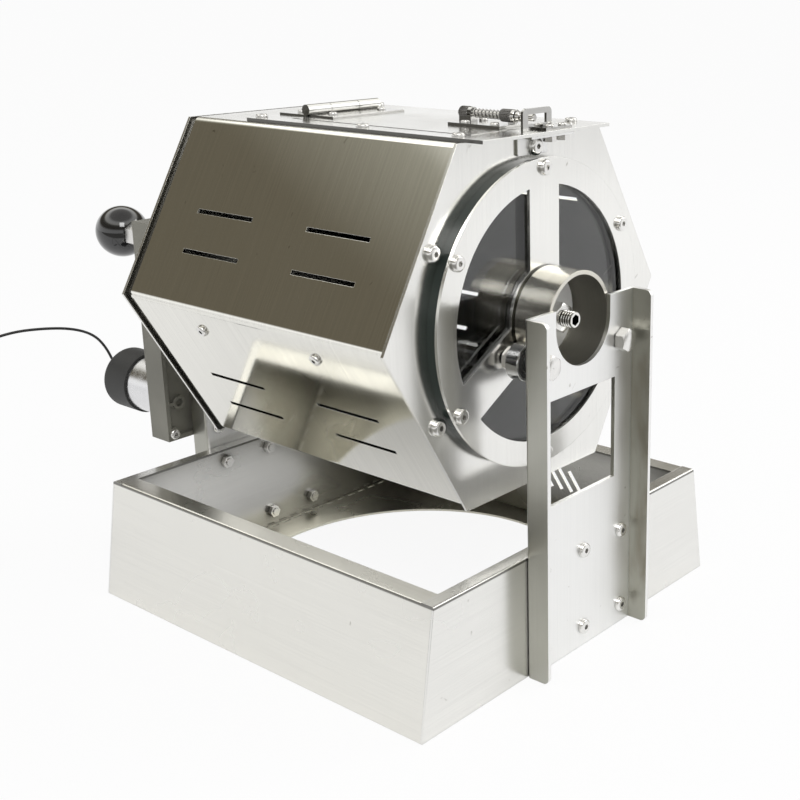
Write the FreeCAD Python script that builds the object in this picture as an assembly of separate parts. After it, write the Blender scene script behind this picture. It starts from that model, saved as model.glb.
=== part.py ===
import FreeCAD, Part
import math
import os

# Home coffee bean roaster: a hexagonal stainless drum that turns on four
# ball bearings between two folded stands, over an open burner tray.
# Millimetres. The origin is the centre of the burner opening at table level,
# +Z is up and the glass end of the drum faces -Y.

V = FreeCAD.Vector
UP, DOWN = V(0, 0, 1), V(0, 0, -1)
RIGHT = V(1, 0, 0)
FRONT, REAR = V(0, -1, 0), V(0, 1, 0)

# ---------------------------------------------------------------- clearances
slide_gap = 0.05          # radial play of a running or slip fit
roll_gap = 0.3            # between the necks and the bearing rings
panel_play = 0.5          # door to frame plate, all round
door_lift = 0.2           # door above the lip it closes on
nose_gap = 0.3            # latch nose behind the keeper plate
thread_proud = 1.0        # screw end beyond its nut
cut_margin = 1.0          # cutters reach this far past the faces they cut
near = 0.01               # tolerance when edges are picked by place

# ---------------------------------------------------------------- burner tray
tray_half_x_bottom = 141.8
tray_half_x_top = 129.0
tray_half_y = 148.3
tray_height = 77.8
tray_sheet = 1.5
side_rim = 12.8           # in-turned rim of the side walls
end_rim = 9.4             # in-turned rim of the front and rear walls
burner_radius = 120.0
fold_slot = (6.5, 1.8)    # length and width of the slots along a fold
fold_slot_pitch = 11.1
fold_slot_count = 21
vent_count = 10
vent_pitch = 9.3
vent_length = 20.0
vent_width = 3.5
vent_height = 39.5        # centre of the vent row
vent_tilt = 28.8          # degrees from upright

# ---------------------------------------------------------------- stands
stand_sheet = 2.6
stand_half_width = 51.5
stand_height = 221.4
stand_flange = 16.2       # depth outside the tray wall
stand_bend = 2.34         # outer radius of the folds
stand_corner = 4.0
window_half_x = 31.4
window_bottom = 104.0
window_top = 169.0
cradle_radius = 26.0
stand_screw_x = 38.65
stand_screw_rows = (13.2, 65.2)

# ---------------------------------------------------------------- drum
axis_z = 210.0
drum_radius = 125.0       # corner radius of the hexagonal end plates
drum_room_front = 35.3    # tray wall to the front end plate
drum_room_rear = 26.3     # tray wall to the rear end plate
end_sheet = 2.0
panel_sheet = 1.5
panel_inset = 2.0         # panels inside the end plates' edges
crease_radius = 5.0
rear_reveal = 3.0         # panels stop this far short of the rear plate
flange_width = 12.75
flange_depth = 6.0
spider_margin = 15.25     # edge of the end plate to the spider ring
spider_width = 15.5
spider_sheet = 2.0
spider_screw_inset = 5.5  # screws inside the ring's edge
glass_step = 1.0          # glass inside the spider ring's edge
glass_seat = 14.0         # glass rim on the end plate, round its window
glass_thickness = 6.9
spoke_width = 27.0
spoke_angles = (90, 210, 330)
neck_radius = 30.0
neck_wall = 2.6
hub_margin = 1.0          # spider hub beyond the neck
neck_recess = 0.8         # neck mouths inside the tray walls' outer faces
vent_slot = (52.5, 2.75)  # length and width of the slots in the panels
slot_column = 50.5        # slot columns either side of mid length
slot_rows = (62.5, 89.0)  # distance of the slot rows from a panel's crease

# ---------------------------------------------------------------- door and frame
frame_sheet = 2.0
frame_inset = 5.0         # frame plate inside the drum's creases
frame_overhang = 13.0     # in front of the end plate
frame_border = 15.0       # beside the door
frame_tail = 26.0         # behind the door
door_setback = 9.0        # behind the end plate
door_length = 149.0
lip = 8.0                 # width of the panel edge under the door
hinge_setback = 1.0       # hinge axis behind the door's rear edge
hinge_rise = 4.0          # hinge axis above the frame plate
hinge_radius = 3.5
hinge_half_x = 31.0
hinge_split_x = 12.0
hinge_split_gap = 0.15    # each side of a knuckle joint
hinge_leaf = 1.2
hinge_leaf_end = 25.0     # leaf length from the hinge axis
hinge_relief = 4.2        # leaf body starts this far from the axis
hinge_pin_radius = 1.5
hinge_screws_front = (21.0, 14.0)   # x, distance in front of the axis
hinge_screws_rear = (22.0, 14.0)    # x, distance behind the axis
frame_screw_inset = 7.0
frame_screw_front = (24.0, 100.0)   # behind the frame plate's front edge
frame_screw_rear = 6.0              # in front of its rear edge

latch_rise = 6.9          # latch axis above the frame plate
# Fronts and rears of the latch are distances behind the door's front edge.
latch_plate = (12.0, 5.6, 46.0, 1.6)      # half width, front, rear, thickness
latch_guide = (3.5, 35.6, 45.0)           # radius, front, rear
latch_saddle_half = 3.0
latch_rod = (2.0, 47.0)                   # radius, rear
latch_grip = (3.8, 2.3, 13.4)             # radius, front, rear
latch_collar = (3.0, -1.0)                # radius, front
latch_nose_radius = 2.2
latch_spring_radius = 2.85
latch_spring_wire = 0.7
latch_screws = ((8.0, 35.5), (8.0, 12.5))  # x, distance behind that edge
keeper_half = 13.0
keeper_height = 12.8
keeper_sheet = 1.6
keeper_lead = 4.0         # keeper's front face in front of the end plate
keeper_window = (8.3, 4.0, 9.4)           # half width, bottom, top above frame
keeper_foot = (24.0, 8.0)                 # right end, depth
keeper_corner = 3.2
keeper_screw_x = (6.0, 18.0)
keeper_screw_lead = 4.0   # in front of the keeper's face
bracket_span = (-15.0, 12.0, 24.0)        # left, right of the leg, right of the top
bracket_drop = 11.8
bracket_corner = 1.4
bracket_setback = 1.0     # behind the front edge of the frame plate
bracket_sheet = 1.5

# ---------------------------------------------------------------- fasteners
head_rounding = 0.62      # rounded share of a screw head's height
socket_floor = 0.35       # share of a screw head's height under its socket
m5 = (4.75, 2.75, 3.0, 2.5)      # head radius, head height, socket flats, shank
m4 = (3.8, 2.2, 2.5, 2.0)
m3 = (2.75, 1.65, 2.0, 1.5)
dome = (5.3, 3.4, 3.0, 2.5)      # large low dome head
m5_nut = (8.0, 4.0)              # across flats, height
m4_nut = (7.0, 3.2)
m8_nut = (13.0, 6.5)
m8_radius = 4.0
m8_head = 7.0             # head with its washer face
spider_screw_angles = (30, 90, 150, 210, 270, 330)
flange_screw_inset = 5.75        # inside the flange's outer face
flange_screw_angles = (90, 150, 210, 270)

# ---------------------------------------------------------------- bearings
ring_radius = 11.0
race_radius = 6.05        # inner surface of the rolling outer ring
ring_rounding = 0.6
bearing_width = 9.0
bearing_x = 37.0
bearing_face = 8.4        # stand web to the near face of the bearing

# ---------------------------------------------------------------- vanes
vane_from_crease = 18.5
vane_height = 26.0
vane_sheet = 1.5
vane_turns = (120, 300)   # degrees from the top panel
vane_foot = 12.0
vane_end_gap = 8.0
vane_screw_column = 51.4

# ---------------------------------------------------------------- stud, rod and knob
rod_radius = 5.0
stud_socket = (6.0, 8.0)  # across flats and depth, in the end of the front stud
stud_recess = 2.8         # stud end inside the front neck's mouth
long_nut = (16.0, 14.5)   # across flats, length
lock_nut = (16.0, 6.0)    # inside the drum, at both ends
rear_nut = (16.0, 10.0)
handle_nut = (19.0, 13.5)
knob_radius = 20.2
knob_reach = 124.0        # ball centre behind the gearbox cover
knob_flat = 17.5          # ball centre to its flat seat
knob_bore_depth = 14.0

# ---------------------------------------------------------------- gear motor
gearbox_standoff = 14.1   # rear stand to the housing
gearbox_depth = 18.0
cover_sheet = 2.0
gearbox_left = -72.0
gearbox_right = 48.0
gearbox_bottom = 85.0
gearbox_top = 242.0
gearbox_foot_right = 10.0
gearbox_knee = 150.0
gearbox_wall = 3.0
recess_depth = 4.0
floor_sheet = 2.0
lug_radius = 5.0
lug_places = ((-41.5, 92.0), (-12.0, 92.0), (-41.5, 205.0), (41.5, 205.0))
rib_height = 111.6
rib_half = 1.2
rib_boss_x = -60.0
rib_boss_bore = 2.75
recess_step = 1.0         # rib and boss behind the housing's front edge
case_screws = ((-67.0, 90.0), (3.0, 90.0), (-67.0, 237.0), (43.0, 237.0))
case_post = 4.6
motor_x = -45.0
motor_z = 112.0
can_radius = 21.0
can_length = 60.0
can_rounding = 1.5
cap_radius = 22.6
cap_overlap = 23.0        # over the can
cap_end = 5.0             # behind the can
cap_rounding = 4.0
shaft_radius = 2.0
shaft_length = 23.0
shaft_opening = 4.0       # radius of the hole in the cover

gear_module = 1.25
tooth_height = (0.8, 1.25)      # above and below the pitch circle, in modules
tooth_half_width = (0.12, 0.30)  # at the tip and the root, in pitches
pinion_teeth = 12
idler_teeth = 60
output_teeth = 41
gear_width = 8.0
gear_rise = 2.0           # gears above the housing floor
idler_pin = 3.0
pin_root = 1.0            # pin let into the housing floor
hub_radius = 9.0
hub_proud = 3.7           # output hub behind the cover

# ---------------------------------------------------------------- lead
lead_diameter = 2.0
lead_exit_rise = 4.0      # above the motor axis, in the cap's rear face
lead_route = (
    (-45.0, 266.0, 116.0), (-47.5, 272.0, 131.0), (-58.0, 270.0, 144.0),
    (-76.0, 267.0, 153.0), (-100.0, 263.0, 159.0), (-127.0, 262.0, 162.0),
    (-151.0, 267.0, 157.0), (-169.0, 276.0, 139.0), (-180.0, 286.0, 113.0),
    (-186.5, 296.0, 82.0), (-190.0, 304.0, 52.0), (-191.5, 305.0, 26.0),
    (-191.5, 296.5, 9.0), (-191.0, 285.0, 1.2), (-191.0, 275.0, 1.2),
)
coil_centre = (-180.0, 258.0)
coil_lead_in = 17.0       # straight stub of the coil that the lead runs into
coil_stub_inset = 0.2     # stubs lie this far inside the coil's flat faces
coil_mean_radius = 11.0
coil_layers = 3
coil_columns = 3
plug_radius = 5.0
plug_length = 36.0
plug_rounding = 1.2
plug_tip = (2.75, 1.05, 9.5)   # barrel radius, bore radius, length
plug_gap = 0.3            # plug behind the coil's outline


# ---------------------------------------------------------------- worked out
floor_z = 0.0
plate_apothem = drum_radius * math.cos(math.pi / 6)
panel_apothem = plate_apothem - panel_inset
inner_apothem = panel_apothem - panel_sheet
panel_top = axis_z + panel_apothem
frame_top = panel_top + frame_sheet
hinge_z = frame_top + hinge_rise
door_bottom = panel_top + door_lift
door_top = door_bottom + frame_sheet
latch_z = frame_top + latch_rise
drum_front = drum_room_front - tray_half_y
drum_rear = tray_half_y - drum_room_rear
panel_front = drum_front + end_sheet
panel_rear = drum_rear - end_sheet - rear_reveal
drum_mid = (drum_front + drum_rear) / 2
spider_outer = plate_apothem - spider_margin
spider_inner = spider_outer - spider_width
spider_screw_circle = spider_outer - spider_screw_inset
glass_radius = spider_outer - glass_step
port_radius = glass_radius - glass_seat
flange_screw_circle = inner_apothem - flange_screw_inset
neck_end = tray_half_y - neck_recess
spider_back = drum_front - glass_thickness
spider_front = spider_back - spider_sheet
web_front = tray_half_y + stand_sheet
flange_end = tray_half_y + stand_flange
bearing_near = tray_half_y - bearing_face
bearing_far = bearing_near - bearing_width
bearing_z = axis_z - math.sqrt((neck_radius + ring_radius + roll_gap) ** 2 - bearing_x ** 2)
gearbox_front = web_front + gearbox_standoff
gearbox_rear = gearbox_front + gearbox_depth
cover_rear = gearbox_rear + cover_sheet
floor_front = gearbox_front + recess_depth
floor_rear = floor_front + floor_sheet
gear_front = floor_rear + gear_rise
gear_rear = gear_front + gear_width
hub_end = cover_rear + hub_proud
can_end = cover_rear + can_length
cap_front = can_end - cap_overlap
cap_rear = can_end + cap_end
knob_centre = cover_rear + knob_reach
knob_seat = knob_centre - knob_flat
stud_front = stud_recess - neck_end
stud_end = drum_front + lock_nut[1] + thread_proud
rod_start = drum_rear - end_sheet - lock_nut[1] - thread_proud
frame_half_x = drum_radius / 2 - frame_inset
frame_front = drum_front - frame_overhang
door_half_x = frame_half_x - frame_border
door_front = drum_front + door_setback
door_rear = door_front + door_length
frame_rear = door_rear + frame_tail
hinge_y = door_rear + hinge_setback
keeper_face = drum_front - keeper_lead
keeper_back = keeper_face + keeper_sheet
nose_end = keeper_back + nose_gap
opening_half_x = door_half_x - lip
opening_front = door_front + lip
opening_rear = door_rear - lip


# ---------------------------------------------------------------- helpers
def save(name, shape):
    shape.exportStep(os.path.join("parts", name + ".step"))


def group(shapes):
    return Part.makeCompound(list(shapes))


def largest(shape):
    return max(shape.Solids, key=lambda solid: solid.Volume)


def fuse(first, *others):
    return first.multiFuse(list(others)).removeSplitter()


def block(x0, x1, y0, y1, z0, z1):
    return Part.makeBox(x1 - x0, y1 - y0, z1 - z0, V(x0, y0, z0))


def rod_y(x, z, radius, y0, y1):
    return Part.makeCylinder(radius, y1 - y0, V(x, y0, z), REAR)


def rod_z(x, y, radius, z0, z1):
    return Part.makeCylinder(radius, z1 - z0, V(x, y, z0), UP)


def rod_x(y, z, radius, x0, x1):
    return Part.makeCylinder(radius, x1 - x0, V(x0, y, z), RIGHT)


def tube_y(x, z, outer, inner, y0, y1):
    return rod_y(x, z, outer, y0, y1).cut(rod_y(x, z, inner, y0, y1))


def prism(points, run):
    """Extrude the closed outline through points along the vector run."""
    return Part.Face(Part.makePolygon(points + points[:1])).extrude(run)


def prism_y(outline, y0, y1):
    """Extrude an outline of (x, z) pairs along Y."""
    return prism([V(x, y0, z) for x, z in outline], V(0, y1 - y0, 0))


def prism_x(outline, x0, x1):
    """Extrude an outline of (y, z) pairs along X."""
    return prism([V(x0, y, z) for y, z in outline], V(x1 - x0, 0, 0))


def polar(radius, degrees):
    """Point (x, z) on a circle about the drum axis, seen from the front."""
    angle = math.radians(degrees)
    return radius * math.cos(angle), axis_z + radius * math.sin(angle)


def ngon(radius, sides, start, centre=(0.0, 0.0)):
    step = 2 * math.pi / sides
    return [(centre[0] + radius * math.cos(start + k * step),
             centre[1] + radius * math.sin(start + k * step)) for k in range(sides)]


def hex_y(x, z, flats, y0, y1):
    corner = flats / 2 / math.cos(math.pi / 6)
    return prism_y(ngon(corner, 6, math.pi / 2, (x, z)), y0, y1)


def about_axis(shape, degrees):
    """Copy turned about the drum axis, anticlockwise seen from the front."""
    turned = shape.copy()
    turned.rotate(V(0, 0, axis_z), FRONT, degrees)
    return turned


def mirror_y(shape):
    return shape.mirror(V(0, 0, 0), REAR)


def soften(shape, radius, picked):
    """Fillet the edges whose midpoint passes the test picked."""
    edges = [e for e in shape.Edges if picked(e.CenterOfMass, e)]
    return shape.makeFillet(radius, edges)


def aim(shape, place, direction):
    """Move a shape built along +Z so that it points along direction."""
    aimed = shape.copy()
    aimed.Placement = FreeCAD.Placement(place, FreeCAD.Rotation(UP, direction))
    return aimed


def screw(size, grip, place, outward):
    """Button-head socket screw: head seat at place, shank of length grip behind it."""
    head_radius, head_height, socket, shank = size
    head = Part.makeCylinder(head_radius, head_height)
    head = soften(head, head_height * head_rounding, lambda c, e: c.z > head_height - near)
    recess_corner = socket / 2 / math.cos(math.pi / 6)
    recess = prism([V(x, y, head_height * socket_floor) for x, y in ngon(recess_corner, 6, 0.0)],
                   V(0, 0, head_height))
    body = fuse(head.cut(recess), Part.makeCylinder(shank, grip, V(0, 0, 0), DOWN))
    return aim(body, place, outward)


def nut(size, bore, place, outward):
    """Hexagon nut seated at place, standing out along outward."""
    flats, height = size
    outline = [V(x, y, 0) for x, y in ngon(flats / 2 / math.cos(math.pi / 6), 6, 0.0)]
    body = prism(outline, V(0, 0, height)).cut(Part.makeCylinder(bore, height))
    return aim(body, place, outward)


def hole(place, outward, radius, depth):
    """Cutter that runs from just outside place into the material."""
    return Part.makeCylinder(radius, depth + cut_margin, place + outward * cut_margin, outward * -1)


# ---------------------------------------------------------------- burner tray
def tray_half_x(z):
    share = z / tray_height
    return tray_half_x_bottom + (tray_half_x_top - tray_half_x_bottom) * share


def rear_wall():
    outer, inner = tray_half_y, tray_half_y - tray_sheet
    section = [(outer, floor_z), (outer, tray_height), (outer - end_rim, tray_height),
               (outer - end_rim, tray_height - tray_sheet),
               (inner, tray_height - tray_sheet), (inner, floor_z)]
    reach = tray_half_x_bottom
    strip = prism_x(section, -reach, reach)
    strip = soften(strip, tray_sheet, lambda c, e: abs(c.y - outer) < near
                   and abs(c.z - tray_height) < near)
    outline = [(-tray_half_x_bottom, floor_z), (tray_half_x_bottom, floor_z),
               (tray_half_x_top, tray_height), (-tray_half_x_top, tray_height)]
    wall = strip.common(prism_y(outline, 0, tray_half_y))
    for place, outward in stand_screw_places():
        wall = wall.cut(hole(place, outward, m5[3], stand_sheet + tray_sheet))
    return wall


def stand_screw_places():
    """Screw seats on the rear stand's web, facing +Y."""
    return [(V(x, web_front, z), REAR) for z in stand_screw_rows
            for x in (-stand_screw_x, 0.0, stand_screw_x)]


def side_wall(right, ends):
    """Side wall; right is +1 or -1, ends are the walls it butts against."""
    top, under = tray_height, tray_height - tray_sheet
    section = [(tray_half_x(0), floor_z), (tray_half_x(top), top),
               (tray_half_x(top) - side_rim, top), (tray_half_x(top) - side_rim, under),
               (tray_half_x(under) - tray_sheet, under), (tray_half_x(0) - tray_sheet, floor_z)]
    wall = prism_y([(right * x, z) for x, z in section], -tray_half_y, tray_half_y)
    wall = soften(wall, tray_sheet, lambda c, e: abs(c.z - top) < near
                  and abs(abs(c.x) - tray_half_x(top)) < near)
    return largest(wall.cut(group(ends)))


def vented(wall):
    inner = min(tray_half_x_top, tray_half_x_bottom) - side_rim
    outer = max(tray_half_x_top, tray_half_x_bottom) + cut_margin
    cutters = []
    for k in range(vent_count):
        y = (k - (vent_count - 1) / 2) * vent_pitch
        slot = block(inner, outer, -vent_width / 2, vent_width / 2,
                     -vent_length / 2, vent_length / 2)
        slot.rotate(V(0, 0, 0), RIGHT, -vent_tilt)
        slot.translate(V(0, y, vent_height))
        cutters.append(slot)
    return wall.cut(group(cutters))


def tray_floor(walls):
    reach_x, reach_y = tray_half_x_bottom, tray_half_y - tray_sheet
    floor = block(-reach_x, reach_x, -reach_y, reach_y, floor_z, tray_sheet)
    floor = floor.cut(group(walls))
    cutters = [rod_z(0, 0, burner_radius, floor_z, tray_sheet)]
    length, width = fold_slot
    for k in range(fold_slot_count):
        x = (k - (fold_slot_count - 1) / 2) * fold_slot_pitch
        for y in (reach_y - 2 * width, -reach_y + width):
            cutters.append(block(x - length / 2, x + length / 2, y, y + width, floor_z, tray_sheet))
    return largest(floor.cut(group(cutters)))


def build_tray():
    rear = rear_wall()
    front = mirror_y(rear)
    left = side_wall(-1, (front, rear))
    right = vented(side_wall(1, (front, rear)))
    save("base_rear_wall", rear)
    save("base_front_wall", front)
    save("base_left_wall", left)
    save("base_right_wall", right)
    save("base_plate", tray_floor((front, rear, left, right)))


# ---------------------------------------------------------------- stands
def rear_stand():
    half, inner = stand_half_width, stand_half_width - stand_sheet
    outline = [V(-half, tray_half_y, 0), V(half, tray_half_y, 0), V(half, flange_end, 0),
               V(inner, flange_end, 0), V(inner, web_front, 0), V(-inner, web_front, 0),
               V(-inner, flange_end, 0), V(-half, flange_end, 0)]
    channel = prism(outline, V(0, 0, stand_height))
    channel = soften(channel, stand_bend, lambda c, e: abs(abs(c.x) - half) < near
                     and abs(c.y - tray_half_y) < near)
    channel = soften(channel, stand_corner, lambda c, e: abs(c.y - flange_end) < near
                     and e.Length < stand_sheet + near)
    window = block(-window_half_x, window_half_x, tray_half_y, web_front,
                   window_bottom, window_top)
    cradle = fuse(rod_y(0, axis_z, cradle_radius, tray_half_y, web_front),
                  block(-cradle_radius, cradle_radius, tray_half_y, web_front,
                        axis_z, stand_height))
    stand = channel.cut(group([window, cradle]))
    for place, outward in stand_screw_places():
        stand = stand.cut(hole(place, outward, m5[3], stand_sheet))
    for x in (-bearing_x, bearing_x):
        stand = stand.cut(rod_y(x, bearing_z, m8_radius, tray_half_y, web_front))
    return stand


def build_stands():
    plain = rear_stand()
    lugs = [rod_y(x, z, m5[3], tray_half_y, web_front) for x, z in lug_places]
    save("rear_stand", plain.cut(group(lugs)))
    save("front_stand", mirror_y(plain))
    screws, nuts = [], []
    grip = stand_sheet + tray_sheet + m5_nut[1] + thread_proud
    for place, outward in stand_screw_places():
        screws.append(screw(m5, grip, place, outward))
        nuts.append(nut(m5_nut, m5[3], V(place.x, tray_half_y - tray_sheet, place.z), FRONT))
    save("stand_screws", group(screws + [mirror_y(s) for s in screws]))
    save("stand_nuts", group(nuts + [mirror_y(n) for n in nuts]))


# ---------------------------------------------------------------- bearings
def build_bearings():
    bolts, spacers, inner_rings = [], [], []
    for x in (-bearing_x, bearing_x):
        bolt = fuse(rod_y(x, bearing_z, m8_radius, bearing_far - m8_nut[1], web_front),
                    hex_y(x, bearing_z, m8_nut[0], web_front, web_front + m8_head))
        cap = hex_y(x, bearing_z, m8_nut[0], bearing_far - m8_nut[1], bearing_far)
        bolts += [bolt, cap.cut(rod_y(x, bearing_z, m8_radius, bearing_far - m8_nut[1], bearing_far))]
        bore = m8_radius + slide_gap
        spacers.append(tube_y(x, bearing_z, race_radius - slide_gap, bore,
                              bearing_near, tray_half_y))
        inner_rings.append(tube_y(x, bearing_z, race_radius - slide_gap, bore,
                                  bearing_far, bearing_near))
        ring = tube_y(x, bearing_z, ring_radius, race_radius, bearing_far, bearing_near)
        ring = soften(ring, ring_rounding, lambda c, e: e.Length > 2 * math.pi * (ring_radius - near))
        side = "left" if x < 0 else "right"
        save("bearing_ring_rear_" + side, ring)
        save("bearing_ring_front_" + side, mirror_y(ring))
    for name, items in (("bearing_bolts", bolts), ("bearing_spacers", spacers),
                        ("bearing_inner_rings", inner_rings)):
        save(name, group(items + [mirror_y(s) for s in items]))


# ---------------------------------------------------------------- drum shell
def hexagon(apothem, y0, y1, crease=0.0):
    corner = apothem / math.cos(math.pi / 6)
    solid = prism_y(ngon(corner, 6, 0.0, (0.0, axis_z)), y0, y1)
    if crease <= 0:
        return solid
    return soften(solid, crease, lambda c, e: abs(e.Length - (y1 - y0)) < near)


def end_plate(y0, y1):
    plate = hexagon(drum_radius * math.cos(math.pi / 6), y0, y1)
    reach = drum_radius + cut_margin
    plate = plate.cut(block(-reach, reach, y0, y1, panel_top, axis_z + reach))
    cutters = []
    for x, z in [polar(flange_screw_circle, a) for a in flange_screw_angles]:
        cutters.append(rod_y(x, z, dome[3], y0, y1))
    return plate.cut(group(cutters))


def front_plate():
    y0, y1 = drum_front, drum_front + end_sheet
    holes = [rod_y(0, axis_z, port_radius, y0, y1)]
    for x, z in [polar(spider_screw_circle, a) for a in spider_screw_angles]:
        holes.append(rod_y(x, z, m5[3], y0, y1))
    return end_plate(y0, y1).cut(group(holes))


def rear_plate():
    y0, y1 = drum_rear - end_sheet, drum_rear
    return end_plate(y0, y1).cut(rod_y(0, axis_z, rod_radius + slide_gap, y0, y1))


def sector():
    """The sixth of the drum above the axis."""
    reach = 2 * drum_radius
    return prism_y([(0.0, axis_z), (reach * 0.5, axis_z + reach * math.sin(math.pi / 3)),
                    (-reach * 0.5, axis_z + reach * math.sin(math.pi / 3))],
                   drum_front - cut_margin, drum_rear + cut_margin)


def slot_cutters():
    """Vent slots of one panel, placed on the top panel."""
    length, width = vent_slot
    cutters = []
    for row in slot_rows:
        x = drum_radius / 2 - row
        for y in (drum_mid - slot_column, drum_mid + slot_column):
            cutters.append(block(x - width / 2, x + width / 2, y - length / 2, y + length / 2,
                                 axis_z + inner_apothem - cut_margin, panel_top + cut_margin))
    return cutters


def vane_screw_x():
    return drum_radius / 2 - vane_from_crease


def vane_screw_y():
    return [drum_mid - vane_screw_column, drum_mid + vane_screw_column]


def build_shell():
    tube = hexagon(panel_apothem, panel_front, panel_rear, crease_radius)
    tube = tube.cut(hexagon(inner_apothem, panel_front, panel_rear,
                            crease_radius - panel_sheet))
    blank = tube.common(sector())
    slotted = blank.cut(group(slot_cutters()))
    low, high = panel_top - panel_sheet - cut_margin, panel_top + cut_margin
    screw_holes = [rod_z(vane_screw_x(), y, m4[3], low, high) for y in vane_screw_y()]
    carrier = slotted.cut(group(screw_holes))
    opening = block(-opening_half_x, opening_half_x, opening_front, opening_rear, low, high)
    frame_holes = [rod_z(p.x, p.y, m4[3], low, high) for p in frame_screw_places()]
    save("drum_panel_top", blank.cut(group([opening] + frame_holes)))
    save("drum_panel_upper_left", about_axis(slotted, 60))
    save("drum_panel_lower_left", about_axis(carrier, 120))
    save("drum_panel_bottom", about_axis(slotted, 180))
    save("drum_panel_lower_right", about_axis(slotted, 240))
    save("drum_panel_upper_right", about_axis(carrier, 300))
    save("drum_front_plate", front_plate())
    save("drum_rear_plate", rear_plate())


def flange_ring(y0, y1):
    ring = hexagon(inner_apothem, y0, y1, crease_radius - panel_sheet)
    ring = ring.cut(hexagon(inner_apothem - flange_width, y0, y1))
    holes = [rod_y(x, z, dome[3], y0, y1)
             for x, z in [polar(flange_screw_circle, a) for a in flange_screw_angles]]
    return ring.cut(group(holes))


def build_flanges():
    save("drum_front_flange", flange_ring(panel_front, panel_front + flange_depth))
    save("drum_rear_flange", flange_ring(drum_rear - end_sheet - flange_depth,
                                         drum_rear - end_sheet))
    screws = []
    grip = end_sheet + flange_depth
    for angle in flange_screw_angles:
        x, z = polar(flange_screw_circle, angle)
        seat = drum_front - (bracket_sheet if angle == 90 else 0.0)
        screws.append(screw(dome, grip + drum_front - seat, V(x, seat, z), FRONT))
        screws.append(screw(dome, grip, V(x, drum_rear, z), REAR))
    save("flange_screws", group(screws))


# ---------------------------------------------------------------- drum window and necks
def spider_plate():
    ring = tube_y(0, axis_z, spider_outer, spider_inner, spider_front, spider_back)
    hub = rod_y(0, axis_z, neck_radius + hub_margin, spider_front, spider_back)
    spokes = []
    for angle in spoke_angles:
        arm = block(-spoke_width / 2, spoke_width / 2, spider_front, spider_back,
                    axis_z, axis_z + (spider_inner + spider_outer) / 2)
        spokes.append(about_axis(arm, angle - 90))
    plate = fuse(ring, hub, *spokes)
    holes = [rod_y(0, axis_z, rod_radius + slide_gap, spider_front, spider_back)]
    for x, z in [polar(spider_screw_circle, a) for a in spider_screw_angles]:
        holes.append(rod_y(x, z, m5[3], spider_front, spider_back))
    return plate.cut(group(holes))


def glass_disc():
    disc = rod_y(0, axis_z, glass_radius, spider_back, drum_front)
    holes = [rod_y(0, axis_z, rod_radius + slide_gap, spider_back, drum_front)]
    for x, z in [polar(spider_screw_circle, a) for a in spider_screw_angles]:
        holes.append(rod_y(x, z, m5[3], spider_back, drum_front))
    return disc.cut(group(holes))


def build_window():
    save("spider_plate", spider_plate())
    save("glass_disc", glass_disc())
    inner = neck_radius - neck_wall
    save("front_neck", tube_y(0, axis_z, neck_radius, inner, -neck_end, spider_front))
    save("rear_neck", tube_y(0, axis_z, neck_radius, inner, drum_rear, neck_end))
    grip = spider_sheet + glass_thickness + end_sheet
    screws = []
    for angle in spider_screw_angles:
        x, z = polar(spider_screw_circle, angle)
        screws.append(screw(m5, grip, V(x, spider_front, z), FRONT))
    save("spider_screws", group(screws))


# ---------------------------------------------------------------- vanes
def build_vanes():
    """Two stirring vanes, built under the top panel and turned to their panels."""
    x = vane_screw_x()
    under = axis_z + inner_apothem
    y0, y1 = panel_front + vane_end_gap + flange_depth, panel_rear - vane_end_gap
    foot = block(x - vane_foot / 2, x + vane_foot / 2, y0, y1, under - vane_sheet, under)
    blade = block(x - vane_foot / 2, x - vane_foot / 2 + vane_sheet, y0, y1,
                  under - vane_height, under)
    holes = [rod_z(x, y, m4[3], under - vane_sheet, under) for y in vane_screw_y()]
    vane = fuse(foot, blade).cut(group(holes))
    fasteners = []
    for y in vane_screw_y():
        grip = panel_sheet + vane_sheet + m4_nut[1]
        fasteners.append(screw(m4, grip, V(x, y, panel_top), UP))
        fasteners.append(nut(m4_nut, m4[3], V(x, y, under - vane_sheet), DOWN))
    save("vanes", group([about_axis(vane, a) for a in vane_turns]))
    save("vane_screws", group([about_axis(f, a) for a in vane_turns for f in fasteners]))


# ---------------------------------------------------------------- frame plate and door
def frame_screw_places():
    reach = frame_half_x - frame_screw_inset
    rows = [frame_front + row for row in frame_screw_front] + [frame_rear - frame_screw_rear]
    return [V(side * reach, y, frame_top) for y in rows for side in (-1, 1)]


def hinge_rear_places():
    x, back = hinge_screws_rear
    return [V(side * x, hinge_y + back, frame_top) for side in (-1, 1)]


def keeper_screw_places():
    return [V(x, keeper_face - keeper_screw_lead, frame_top) for x in keeper_screw_x]


def frame_plate():
    plate = block(-frame_half_x, frame_half_x, frame_front, frame_rear, panel_top, frame_top)
    doorway = block(-door_half_x - panel_play, door_half_x + panel_play,
                    door_front - panel_play, door_rear + panel_play, panel_top, frame_top)
    holes = [rod_z(p.x, p.y, m4[3], panel_top, frame_top) for p in frame_screw_places()]
    holes += [rod_z(p.x, p.y, m3[3], panel_top, frame_top)
              for p in hinge_rear_places() + keeper_screw_places()]
    return plate.cut(group([doorway] + holes))


def build_frame():
    save("frame_plate", frame_plate())
    screws = [screw(m4, frame_sheet + panel_sheet, p, UP) for p in frame_screw_places()]
    screws += [screw(m3, frame_sheet + hinge_leaf, p + UP * hinge_leaf, UP)
               for p in hinge_rear_places()]
    for p in keeper_screw_places():
        grip = keeper_sheet + frame_sheet + bracket_sheet + m4_nut[1]
        screws.append(screw(m3, grip, p + UP * keeper_sheet, UP))
        screws.append(nut(m4_nut, m3[3], V(p.x, p.y, panel_top - bracket_sheet), DOWN))
    save("frame_screws", group(screws))


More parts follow.
